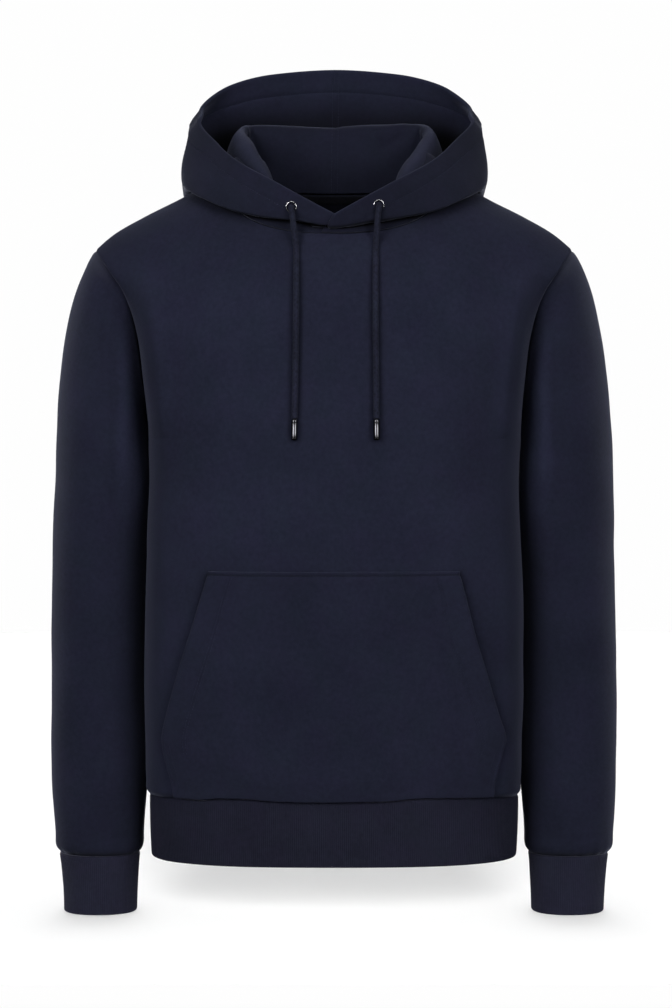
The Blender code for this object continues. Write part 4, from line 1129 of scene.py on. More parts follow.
def body_cloth(face):
    """Outer skin, soft skin under the seams, and normals of the front or back."""
    g = body_xyz(face, BODY_ROWS[:, None], BODY_COLS[None])
    edge = np.abs(g[:, -1:, 0]) - np.abs(g[..., 0])
    deep = sink.at("front" if face < 0 else "back", g[..., 2])
    deep = np.minimum(deep, 0.75 * np.maximum(np.abs(g[:, -1:, 1]) - 2.0, 0.0))
    upper = smooth((BODY_ROWS[:, None] - 1.0) / 0.06)
    g[..., 1] += face * 4.5 * bump(edge - 17, 13) * smooth(edge / 9) \
        * smooth((1.86 - BODY_ROWS[:, None]) / 0.3)
    t = np.clip(1 - edge / ROLL, 0, 1)
    g[..., 1] -= face * deep * upper * (1 - np.sqrt(np.maximum(1 - t * t, 0.0)))
    g[..., 1] += face * 0.20 * deep * upper * bump(edge - 15, 11) * smooth(edge / 8)
    n = normals(g)
    if n[40, len(BODY_COLS) // 2] @ np.array((0, face, 0)) < 0:
        n = -n
    # edges shared with the other panel have their normals in the plane between them
    side = (np.abs(BODY_COLS)[None] >= 1) & (BODY_ROWS[:, None] <= 1)
    top = (np.abs(BODY_COLS)[None] >= NECK_SHARE - 1e-9) & (BODY_ROWS[:, None] >= 2)
    n[side | top, 1] = 0
    n = unit(n)
    across = run_along(g, 1)
    d_side = np.minimum(across, across[:, -1:] - across)
    up = run_along(g, 0)
    d_hem, d_top = up, up[-1:] - up
    flat = g[..., [0, 2]]
    soft = np.zeros(g.shape[:2])
    for depth, width, line in (FRONT_CREASES if face < 0 else BACK_CREASES):
        soft += crease(flat, polish(line), depth, width)
    soft += unevenness(g, 150, 11 + face) * 0.7 + unevenness(g, 62, 31 + face) * 0.28
    if face < 0:
        for name, sign in (("right", -1), ("left", 1)):
            off = sign * g[..., 0] - pocket.at(name, g[..., 2])
            soft -= 1.3 * bump(off - 1.5, 3.0) * smooth((-399 - g[..., 2]) / 6) \
                * smooth((g[..., 2] + 600) / 30)
    # gathers just above the hem seam, stronger where the seam rises
    near = 0.25 + bump(g[..., 0] + 101, 24) + bump(g[..., 0] - 88, 26)
    soft += 0.5 * near * puckers(g[..., 0], 5 + face) * np.exp(-d_hem / 11)
    if face < 0:
        for name in ("x_right", "x_left"):
            off = g[..., 0] - cords.at(name, g[..., 2])
            soft -= 0.9 * bump(off, 3.6) * smooth((-84 - g[..., 2]) / 20) \
                * smooth((g[..., 2] + 276) / 10)
    soft *= smooth(d_side / 14) * smooth(d_top / 16)
    g2 = g.copy()
    g2[..., 2] += seam_wave(g[..., 0], g[..., 1]) * smooth(1 - d_hem / 34)
    # the cloth swells a little over the tighter band below it
    g2[..., :2] *= (1 + 0.012 * bump(d_hem - 5, 6))[..., None]
    body_soft = g2 + n * soft[..., None]
    groove = -GROOVE_D * bump(d_side, GROOVE_W) - 1.4 * bump(d_hem, 2.4) \
        - GROOVE_D * 0.45 * bump(d_top, GROOVE_W)
    outer = body_soft + n * groove[..., None]
    for skin in (outer, body_soft):
        low = BODY_ROWS <= 1
        for j in (0, -1):
            skin[low, j, 1] = 0.0
        shoulder_cols = np.abs(BODY_COLS) >= NECK_SHARE - 1e-9
        skin[-1, shoulder_cols, 1] = RIDGE_Y
    return g, n, outer, body_soft


panels = {}
for _face, _name in ((-1, "front"), (1, "back")):
    base, nor, outer, soft = body_cloth(_face)
    inner = soft - nor * CLOTH
    low = BODY_ROWS <= 1
    for _j in (0, -1):
        inner[low, _j, 1] = 0.0
    inner[-1, np.abs(BODY_COLS) >= NECK_SHARE - 1e-9, 1] = RIDGE_Y
    panels[_face] = (base, nor, outer, soft)
    # painted light: the front is painted up to 8 % paler below the shoulders, so that the shoulders, lit
    # from above, stay darker, and the back 25 % paler; the inner skins get painted shade, half as bright
    wall(_name + "_cloth", outer, inner, "fleece", node=_name + "_body",
         knit=knit_of(base, body_shade(_face, base)
                      + (0.08 * smooth((-50 - base[..., 2]) / 90) if _face < 0 else 0.25)),
         inner_knit=knit_of(base, np.full(base.shape[:2], -0.5)))


def on_front(x, z):
    """Point and normal of the front's cloth at (x, z), below the armhole."""
    base, nor, outer, soft = panels[-1]
    v = (z - HEM_SEAM_Z) / (UNDERARM_Z - HEM_SEAM_Z)
    n = body.at("square", z)
    g = np.clip(np.abs(x) / body.at("side", z), 0, 1)
    s = np.sign(x) * np.arcsin(np.clip(g ** (n / 2), 0, 1)) / (PI / 2)
    i = np.interp(v, BODY_ROWS, np.arange(len(BODY_ROWS)))
    j = np.interp(s, BODY_COLS, np.arange(len(BODY_COLS)))
    i0, j0 = np.minimum(i.astype(int), len(BODY_ROWS) - 2), np.minimum(j.astype(int), len(BODY_COLS) - 2)
    a, b = (i - i0)[..., None], (j - j0)[..., None]
    read = lambda f: (f[i0, j0] * (1 - a) * (1 - b) + f[i0 + 1, j0] * a * (1 - b)
                      + f[i0, j0 + 1] * (1 - a) * b + f[i0 + 1, j0 + 1] * a * b)
    return read(soft), unit(read(nor))


# ---------------------------------------------------------------- ribbed bands
def ring_evenly(ring, count):
    closed = np.concatenate([ring, ring[:1]])
    run = np.concatenate([[0], np.cumsum(np.linalg.norm(np.diff(closed, axis=0), axis=1))])
    want = np.arange(count) / count * run[-1]
    return np.stack([np.interp(want, run, closed[:, c]) for c in range(3)], 1), run[-1]


def ribbed(name, node, grid, depths, thick, height, seed):
    """A doubled tube of rib from its rings; depths are the rings' distances below its seam."""
    rows, cols = grid.shape[:2]
    n = normals(grid, ring=True)
    centre = grid.mean(axis=1, keepdims=True)
    if ((grid - centre) * n).sum() < 0:
        n = -n
    n[..., 2] = 0
    n = unit(n)
    phase = np.array((1.0, 0.25, -1.0, 0.25))[np.arange(cols) % 4]
    total = depths[-1]
    show = smooth(depths / 2.2) * smooth((total - depths) / 2.5)
    relief = height * phase[None] * (0.25 + 0.75 * show[:, None])
    relief = relief + 0.22 * unevenness(grid, 60, seed) + 0.35 * unevenness(grid, 24, seed + 1) \
        * np.exp(-depths / 9)[:, None]
    relief = relief - 0.9 * bump(depths, 1.6)[:, None]
    mid = grid - n * (thick / 2)
    half = thick / 2 * np.sqrt(np.maximum(1 - (1 - np.clip((total - depths) / (thick / 2), 0, 1))
                                          ** 2, 0.03))
    half[0] = thick / 2
    outer = mid + n * (half[:, None, None]) + n * relief[..., None]
    inner = mid - n * (half[:, None, None]) + n * 0.4 * relief[..., None]
    # the third value: the rib's height, whose hollows the rib material paints darker as painted shade,
    # and painted shade along the seam at its top
    knit = knit_of(grid, np.broadcast_to(phase[None], grid.shape[:2]) * show[:, None]
                   - 1.45 * bump(depths, 0.9)[:, None])
    return wall(name, outer, inner, "rib", ring=True, node=node, knit=knit, angle=70)


def make_hem():
    front = body_xyz(-1, 0.0, np.linspace(-1, 1, 401))
    back = body_xyz(1, 0.0, np.linspace(1, -1, 401)[1:-1])
    ring, length = ring_evenly(np.concatenate([front, back]), 4 * int(round(970 / RIB_PITCH)))
    depths = np.array((0.0, 0.7, 1.5, 2.6, 4.2, 7, 12, 19, 27, 36, 45, 53, 59, 62.5, 64.2, 65.0,
                       65.5, 65.85))
    z = HEM_SEAM_Z - SEAM / 2 - depths
    z[-1] = HEM_Z
    a = body.at("side", z) / body.at("side", HEM_SEAM_Z)
    bf = body.at("front", z) / body.at("front", HEM_SEAM_Z)
    bb = body.at("back", z) / body.at("back", HEM_SEAM_Z)
    x = ring[None, :, 0] * a[:, None]
    y = np.where(ring[None, :, 1] <= 0, ring[None, :, 1] * bf[:, None],
                 ring[None, :, 1] * bb[:, None])
    zz = np.broadcast_to(z[:, None], x.shape) \
        + seam_wave(ring[:, 0], ring[:, 1])[None] * smooth(1 - depths / 40)[:, None]
    grid = np.stack([x, y, zz], -1)
    return ribbed("hem_rib", "hem_band", grid, depths, RIB, 0.24, 71)


make_hem()


# ---------------------------------------------------------------- sleeves and cuffs
SLEEVE_COUNT = 132


def armhole_ring():
    a = np.arange(SLEEVE_COUNT) / SLEEVE_COUNT * 2 * PI
    psi = np.where(a <= PI, PI - a, a - PI)
    p = np.where((a <= PI)[:, None], body_xyz(-1, 1 + psi / PI, 1.0), body_xyz(1, 1 + psi / PI, 1.0))
    near = np.where((a <= PI)[:, None], body_xyz(-1, 1 + psi / PI, 0.99),
                    body_xyz(1, 1 + psi / PI, 0.99))
    along = np.roll(p, -1, 0) - np.roll(p, 1, 0)
    n = unit(np.cross(along, p - near))
    centre = p.mean(0)
    n = np.where((((p - centre) * (1, 1, 0.2)) * n).sum(1, keepdims=True) < 0, -n, n)
    # smooth the normals round the ring, because the two panels meet at the tip and underarm
    for _ in range(6):
        n = unit(np.roll(n, 1, 0) + 2 * n + np.roll(n, -1, 0))
    away = unit(np.cross(n, along))
    away = np.where(away[:, :1] < 0, -away, away)
    return p, n, away


def sleeve_grid():
    ring, n, away = armhole_ring()
    share = (ring[:, 2] - UNDERARM_Z) / (TIP_Z - UNDERARM_Z)
    hollow = ring[:, 0] - lerp(float(armhole.at("x", UNDERARM_Z)), TIP_X, share)
    a = np.arange(SLEEVE_COUNT) / SLEEVE_COUNT * 2 * PI
    c, s = np.cos(a), np.sin(a)
    rings = [ring + away * 0.05]
    for row in SLEEVE:
        r = dict(zip(SLEEVE_COLUMNS, row))
        e = 2 / r["square"]
        ce, se = np.sign(c) * np.abs(c) ** e, np.abs(s) ** e
        mx, mz = (r["out_x"] + r["in_x"]) / 2, (r["out_z"] + r["in_z"]) / 2
        hx, hz = (r["out_x"] - r["in_x"]) / 2, (r["out_z"] - r["in_z"]) / 2
        x = mx + hx * ce + hollow * r["keep"]
        y = r["middle"] + np.where(s > 0, -r["fore"], r["aft"]) * se
        rings.append(np.stack([x, y, mz + hz * ce], 1))
    rings = np.array(rings)
    # place of each ring along the sleeve, by its mean distance from the one before
    step = np.linalg.norm(np.diff(rings, axis=0), axis=2).mean(1)
    t = np.concatenate([[0], np.cumsum(step)])
    want = np.concatenate([np.array((0.0, 0.7, 1.5, 2.6, 4.2, 6.5, 9.5)),
                           np.linspace(13, t[-1] - 26, 104),
                           t[-1] - np.array((22, 18.5, 15.5, 12.8, 10.4, 8.3, 6.5, 5.0, 3.7, 2.6,
                                             1.7, 0.9, 0.0))])
    return spline(t, rings.reshape(len(rings), -1), want).reshape(-1, SLEEVE_COUNT, 3), want


def make_sleeves():
    g, t = sleeve_grid()
    edge_x = np.where(g[..., 2] > UNDERARM_Z, armhole.at("x", g[..., 2]),
                      body.at("side", g[..., 2]))
    off = np.clip((g[..., 0] - edge_x) / DIP, 0, 1)
    front = g[..., 1] < 3
    deep = np.where(front, sink.at("front", g[..., 2]), sink.at("back", g[..., 2]))
    deep = np.minimum(deep * (1 - off) ** 2.6, 0.75 * np.maximum(np.abs(g[..., 1] - 3) - 2, 0))
    g[..., 1] += np.where(front, deep, -deep)
    # and touches it below the underarm, seen from the back
    g[..., 0] -= 3.2 * bump(g[..., 2] + 308, 36) * smooth((205 - g[..., 0]) / 12)
    n_body = body.at("square", g[..., 2])
    half_y = np.where(front, body.at("front", g[..., 2]), body.at("back", g[..., 2]))
    wall_x = body.at("side", g[..., 2]) \
        * np.maximum(1 - np.minimum(np.abs(g[..., 1]) / half_y, 1) ** n_body, 0) ** (1 / n_body)
    lay = smooth((UNDERARM_Z + 3 - g[..., 2]) / 8) * smooth((g[..., 2] + 633) / 10)
    g[..., 0] = np.where(wall_x + 0.2 > g[..., 0], lerp(g[..., 0], wall_x + 0.2, lay), g[..., 0])
    n = normals(g, ring=True)
    centre = g.mean(1, keepdims=True)
    if ((g - centre) * n).sum() < 0:
        n = -n
    n[-1, :, 2] = 0
    n[-1] = unit(n[-1])
    d_start, d_end = t[:, None], (t[-1] - t)[:, None]
    round_deg = np.arange(SLEEVE_COUNT) / SLEEVE_COUNT * 360.0
    for side, sign, seed in (("left", 1, 101), ("right", -1, 202)):
        soft = np.zeros(g.shape[:2])
        for depth, width, line in SLEEVE_CREASES[side]:
            pts = []
            for deg, z in line:
                j = int(round(deg / 360 * SLEEVE_COUNT)) % SLEEVE_COUNT
                i = int(np.argmin(np.abs(g[:, j, 2] - z)))
                pts.append(g[i, j])
            soft += crease(g, polish(pts), depth, width)
        soft += unevenness(g, 130, seed) * 0.7 + unevenness(g, 55, seed + 1) * 0.25
        arc = run_along(g, 1)
        soft += 0.45 * puckers(arc[-4][None] + 0 * soft, seed + 2) * np.exp(-d_end / 12)
        # the side that lies against the body stays clear of it
        inward = smooth((-n[..., 0] - 0.2) / 0.6)
        soft = np.where(soft > 0, soft * (1 - 0.9 * inward), soft * (1 - 0.5 * inward))
        soft = soft * smooth(d_start / 18)
        body_soft = g + n * soft[..., None]
        groove = -GROOVE_D * bump(d_start, GROOVE_W) - 0.35 * bump(d_end, 2.0)
        outer = body_soft + n * groove[..., None]
        inner = body_soft - n * CLOTH
        outer, inner, base = outer * (sign, 1, 1), inner * (sign, 1, 1), g * (sign, 1, 1)
        # painted shade at the cuff seam and the armhole seam, painted light on the forward-facing inner
        # side next to the body, and the whole sleeve painted a little darker
        sleeve_painted_light = -0.60 * bump(d_end, 2.6) - 0.25 * bump(d_start, 1.6) \
            + 0.75 * inward * smooth((-n[..., 1] - 0.05) / 0.2) \
            * smooth((g[..., 2] + 400) / 120) * smooth(d_start / 20) - 0.07
        wall("sleeve_cloth_" + side, outer, inner, "fleece", ring=True, node="sleeve_" + side,
             knit=knit_of(base, sleeve_painted_light))
        end = g[-1]
        ring, length = ring_evenly(end, 4 * int(round(246.7 / RIB_PITCH)))
        depths = np.array((0.0, 0.7, 1.5, 2.6, 4.2, 7, 12, 19, 27, 36, 45, 52, 56, 58, 58.9, 59.3,
                           59.6))
        z = -691.3 - depths
        z[-1] = -751.0
        out_x, in_x = cuff.at("out_x", z), cuff.at("in_x", z)
        mid, half = (out_x + in_x) / 2, (out_x - in_x) / 2
        mid0, half0 = (280.2 + 198.4) / 2, (280.2 - 198.4) / 2
        x = mid[:, None] + (ring[None, :, 0] - mid0) * half[:, None] / half0
        y = 6.0 + (ring[None, :, 1] - 6.0) * cuff.at("half_depth", z)[:, None] / 36.5
        grid = np.stack([x * sign, y, np.broadcast_to(z[:, None], x.shape)], -1)
        ribbed("cuff_rib_" + side, "cuff_" + side, grid, depths, RIB, 0.22, seed + 5)


make_sleeves()


# ---------------------------------------------------------------- hood
def hood_cloth(side):
    """Both skins of one hood half on the +X side."""
    on_top = side == "left"
    ats = np.concatenate([
        spaced((0.0, 1 / 3, 22, 1.0), (1 / 3, 1.90, 84, 1.0))[:-1],
        2 - np.array((0.10, 0.082, 0.066, 0.052, 0.040, 0.030, 0.021, 0.013, 0.007, 0.003, 0.0))])
    rows = np.concatenate([
        np.array((0, 0.012, 0.028, 0.05)), spaced((0.08, 1.0, 22, 1.0))[:-1],
        spaced((1.0, 2.0, 34, 1.0))[:-1]])
    # towards the face edge the rows follow the distance from it
    dist = np.concatenate([np.array((0, 0.25, 0.6, 1.1, 1.8, 2.8, 4.2, 6.2, 9.0, 12.5, 16.5, 19.5,
                                     21.4, 22.6, 23.4, 24.0, 24.6, 25.4, 26.6, 28.4, 31.0))])
    tail = 26
    fine = np.linspace(2, 3, 201)
    lead = hood_xyz(ats[None], rows[:, None])
    last = hood_xyz(ats[None], fine[:, None])
    length = run_along(last, 0)
    total = length[-1]                              # length of the outer face in each column
    shrink = np.minimum(1.0, total / 52.0)
    ms = []
    for j in range(len(ats)):
        d = dist * shrink[j]
        rest = np.linspace(total[j], d[-1], tail + 1)[:-1]
        want = np.concatenate([rest, d[::-1]])      # from the fold to the face edge
        ms.append(np.interp(total[j] - want, length[:, j], fine))
    ms = np.array(ms).T
    g = np.concatenate([lead, hood_xyz(np.broadcast_to(ats[None], ms.shape), ms)])
    m_all = np.concatenate([np.broadcast_to(rows[:, None], (len(rows), len(ats))), ms])
    # the front end, carried past the middle, slants from the face edge to the neck seam
    height = (g[:, 0, 2] - g[0, 0, 2]) / (g[-1, 0, 2] - g[0, 0, 2])
    reach = OVERLAP * (1 - height) + 0.6
    first = hood_xyz(np.full(len(g), 1 / 6), m_all[:, 0]) - g[:, 0]
    run = np.maximum(first[:, 0], 1)
    sz = first[:, 2] / run
    sz = np.where(m_all[:, 0] > 1, np.minimum(sz, 0.0), sz)
    slant = np.stack([-np.ones(len(g)), first[:, 1] / run, sz], 1) * reach[:, None]
    share = np.array((1.0, 0.985, 0.955, 0.91, 0.84, 0.72, 0.54, 0.36, 0.18))
    end = g[:, :1] + slant[:, None] * share[None, :, None]
    g = np.concatenate([end, g], 1)
    at_all = np.concatenate([-share * 0.001, ats])
    m_all = np.concatenate([np.repeat(m_all[:, :1], len(share), 1), m_all], 1)
    d_end = np.concatenate([(1 - share)[None] * reach[:, None],
                            reach[:, None] + 100 * np.broadcast_to(ats[None] + 1e-3,
                                                                   (len(g), len(ats)))], 1)
    # the ends' slant starts gently
    n = normals(g)
    k = int(np.argmin(np.abs(at_all - 1)))
    if n[12, k, 0] < 0:
        n = -n
    n[:, :len(share) + 1] = n[:, len(share) + 1:len(share) + 2]
    step = (HOOD_CLOTH / 2 + 0.4) * smooth(np.clip(1 - np.maximum(at_all, 0) * 3, 0, 1) * 0.5) * 2
    step = (HOOD_CLOTH / 2 + 0.4) * np.clip(1 - np.maximum(at_all, 0) * 3, 0, 1)
    g = g + n * (step if on_top else -step)[None, :, None]
    lead_run = np.linalg.norm(g[6] - g[0], axis=-1, keepdims=True)
    start = g[0] + unit(g[6] - g[0]) * np.minimum(SEAM + 0.9, 0.5 * lead_run)
    g[:7] = start[None] + (g[6] - start)[None] * np.linspace(0, 1, 7)[:, None, None]
    a = np.radians(hood.at("out", np.maximum(at_all, 0)))[None]
    hollow = HOLLOW[side] * smooth((at_all[None] - 0.72) / 0.25) * smooth((1.64 - at_all[None]) / 0.22) \
        * smooth(m_all / 0.45) * (1 - smooth((m_all - 0.62) / 0.42))
    g[..., 0] += hollow * np.sin(a)
    g[..., 1] -= hollow * np.cos(a)
    valley = VALLEY * smooth((at_all[None] - 0.42) / 0.3) * smooth((1.75 - at_all[None]) / 0.35) \
        * smooth((m_all - 1.04) / 0.30) * smooth((1.90 - m_all) / 0.40)
    g[..., 2] -= valley
    # the face edge turns inwards at the sides, with the cloth below it swelling outwards
    d_edge = run_along(g, 0)
    d_edge = d_edge[-1:] - d_edge
    corner = bump(at_all - 1.16, 0.32)[None] * (m_all > 2)
    g[..., 0] -= 8.5 * corner * bump(d_edge, 11)
    g[..., 0] += 3.5 * bump(at_all - 1.32, 0.24)[None] * bump(d_edge - 19, 10) * (m_all > 2)
    # at the front the fold stands clear of the strip below it
    clear = 5.2 * smooth((m_all - 1.86) / 0.28) * (1 - smooth((at_all[None] - 0.45) / 0.35))
    g[..., 0] += clear * np.sin(a)
    g[..., 1] -= clear * np.cos(a)
    # beside the crossing ends it hangs low enough to hide the ridge behind it
    g[..., 2] -= 2.8 * (1 - smooth((at_all[None] - 0.06) / 0.12)) * bump(m_all - 2.0, 0.30)
    n = normals(g)
    n = steady(-n if n[12, k, 0] < 0 else n)
    n[:, :len(share) + 1] = n[:, len(share) + 1:len(share) + 2]
    # small changes of the ridge and the whole hood's lean
    back = smooth((at_all - 1.3) / 0.4)[None]
    ridge = bump(m_all - 1.0, 0.45)
    g[..., 2] += ridge * back * (1.6 * bump(g[..., 0] - 78, 22) - 1.6 * bump(g[..., 0], 34))
    # distances on the cloth
    up = run_along(g, 0)
    d_rim, d_neck = up[-1:] - up, up
    across = run_along(g, 1)
    d_back = across[:, -1:] - across
    soft = np.zeros(g.shape[:2])
    ats_m = np.stack([np.broadcast_to(at_all[None], m_all.shape), m_all], -1)
    for depth, width, line in HOOD_CREASES[side]:
        pts = []
        for a, m in line:
            i = np.argmin(np.abs(m_all[:, int(np.argmin(np.abs(at_all - a)))] - m))
            pts.append(g[i, int(np.argmin(np.abs(at_all - a)))])
        # only the stretch of cloth that the crease lies in, not the layer beside it
        ms_line = np.array(line)[:, 1]
        here = smooth((m_all - ms_line.min() + 0.45) / 0.3) * smooth((ms_line.max() + 0.45 - m_all) / 0.3)
        towards = -1 if ms_line.mean() < 1.2 else 1
        soft += towards * crease(g, polish(pts), depth, width) * here
    seed = 301 if on_top else 302
    soft += unevenness(g, 120, seed) * 0.8 + unevenness(g, 48, seed + 9) * 0.3
    soft *= smooth(d_back / 10) * smooth(d_neck / 14) * smooth(at_all / 0.25)[None]
    casing = smooth((CASING - 0.5 - d_rim) / 6.0) * smooth(at_all / 0.1 + 1)[None]
    thick = HOOD_CLOTH + 1.5 * casing
    # the casing's stitching pulls both faces together; twin stitching beside the centre seam
    shows = 0.45 + 0.55 * smooth((at_all - 0.85) / 0.3)[None]
    line = (bump(d_rim - CASING, 1.0) + 0.4 * bump(d_rim - CASING + 1.0, 2.0)) * shows
    twin = bump(d_back - 3.2, 0.9)
    pull = 0.75 * line + 0.35 * twin
    seam = bump(d_back, 1.5) * 1.2 + bump(d_neck, 1.4) * 0.3
    # rounded at the face edge and the front end
    open_edge = np.minimum(d_rim, d_end)
    half = thick / 2
    closing = np.sqrt(np.maximum(1 - (1 - np.clip(open_edge / half, 0, 1)) ** 2, 0.03))
    mid = g - n * (HOOD_CLOTH / 2) + n * soft[..., None]
    outer_h = half * closing - pull - seam * 0.9
    inner_h = half * closing - pull - seam * 0.3
    outer = mid + n * np.maximum(outer_h, 0.12)[..., None]
    inner = mid - n * np.maximum(inner_h, 0.12)[..., None]
    for skin in (outer, inner):
        skin[:, -1, 0] = -0.05
        lean = 1.4 * smooth((skin[..., 2] + 60) / 160)
        skin[..., 0] += (lean if on_top else -lean)
    if not on_top:
        outer, inner = outer * (-1, 1, 1), inner * (-1, 1, 1)
        g, n = g * (-1, 1, 1), n * (-1, 1, 1)
    # painted shade and painted highlight on the outer face: a painted highlight along the face edge,
    # painted shadow on the strip under the fold at the front, on the fold's lower edge and along the
    # fold and the ridge at the front end, and painted shade that darkens the upper part
    fold = (m_all > 1.5) & (m_all < 2.6)
    fold_z = np.where(fold, g[..., 2], 1e3).min(0)[None]
    below = np.maximum(fold_z - g[..., 2], 0)
    front = 1 - smooth((at_all[None] - 0.55) / 0.2)
    strip = front * (m_all < 1.5) * (0.60 * bump(below, 3.0) + 0.24 * np.exp(-below / 7))
    if on_top:
        strip = strip * (0.15 + 0.85 * smooth((at_all[None] - 0.05) / 0.12))
    lip = 0.28 * np.exp(-np.maximum(g[..., 2] - fold_z, 0) / 2.2) * (m_all > 1.5) \
        * (1 - smooth((at_all[None] - 1.0) / 0.2))
    shade = 0.30 * bump(d_rim, 2.6) - strip - lip \
        - 0.8 * (bump(m_all - 1.98, 0.10) + bump(m_all - 1.0, 0.3) * (at_all < 0.12)) * front - 0.24 * smooth((g[..., 2] + 15) / 70) * (m_all > 2)
    return g, n, outer, inner, d_rim, d_back, at_all, m_all, shade


def level_line(skin, nor, dist, level, start=0, stop=None, from_top=True):
    """Points of a net where the distance from its edge passes level, one to a column."""
    pts, nors = [], []
    stop = skin.shape[1] if stop is None else stop
    for j in range(start, stop):
        d = dist[:, j]
        hit = np.nonzero((d[:-1] - level) * (d[1:] - level) <= 0)[0]
        if not len(hit):
            continue
        i = hit[-1] if from_top else hit[0]
        f = (level - d[i]) / (d[i + 1] - d[i]) if d[i + 1] != d[i] else 0.0
        pts.append(lerp(skin[i, j], skin[i + 1, j], f))
        nors.append(unit(lerp(nor[i, j], nor[i + 1, j], f)))
    return np.array(pts), np.array(nors)


hood_lines = []
for _side in ("left", "right"):
    g, n, outer, inner, d_rim, d_back, at_all, m_all, _shade = hood_cloth(_side)
    # both halves painted darker as painted shade, the left half more than the right
    _knit = knit_of(g, _shade - (0.17 if _side == "right" else 0.28))
    # inside, a painted highlight along the face edge
    _inside = knit_of(g, 0.30 * bump(d_rim, 2.6))
    # painted shade inside the hood: the deep bowl behind the stand is painted darker
    _from = lerp(1.13, 0.97, smooth((at_all - 1.40) / 0.12))[None]
    _inside_painted_shade = smooth((d_rim - 20) / 40) * smooth((m_all - _from) / 0.14) \
        * (0.72 + 0.22 * bump(at_all - 1.48, 0.26)[None])
    # painted shade on the stand inside, as in half shade, darker towards the neck, with a painted
    # highlight on its rolled sides
    _inside_painted_shade = _inside_painted_shade + (1 - smooth((m_all - 0.90) / 0.12)) * (0.28 + 0.16 * smooth((0.55 - m_all) / 0.5))
    _inside_painted_shade = _inside_painted_shade - 0.34 * bump(m_all - 1.05, 0.085) * smooth((at_all - 0.50) / 0.2)[None] \
        * smooth((1.42 - at_all) / 0.12)[None]
    # a painted darker line along the ridge at the back, and painted shade inside the fold and stand at
    # the front
    _inside_painted_shade = _inside_painted_shade + 0.30 * bump(m_all - 1.0, 0.06) * smooth((at_all - 1.50) / 0.12)[None]
    _inside_painted_shade = _inside_painted_shade + 0.8 * smooth((m_all - 0.7) / 0.2) * smooth((2.5 - m_all) / 0.3) \
        * smooth((0.62 - at_all) / 0.2)[None]
    _inside[..., 2] -= _inside_painted_shade
    wall("hood_cloth_" + _side, outer, inner, "fleece", node="hood_" + _side, knit=_knit,
         inner_knit=_inside)
    first = int(np.argmin(np.abs(at_all - 0.16)))
    hood_lines.append(level_line(outer, n, d_rim, CASING, first))
    hood_lines.append(level_line(inner, -n, d_rim, CASING, first))
    # beside the centre seam, on the inside of the bowl and of the stand
    turned_net = lambda f: np.swapaxes(f, 0, 1)
    pts, nors = level_line(turned_net(inner), -turned_net(n), turned_net(d_back), 3.2)
    hood_lines.append((pts, nors))
stitches("hood_stitching", hood_lines, "fleece", thick=0.45, lift=0.12)


# ---------------------------------------------------------------- pocket


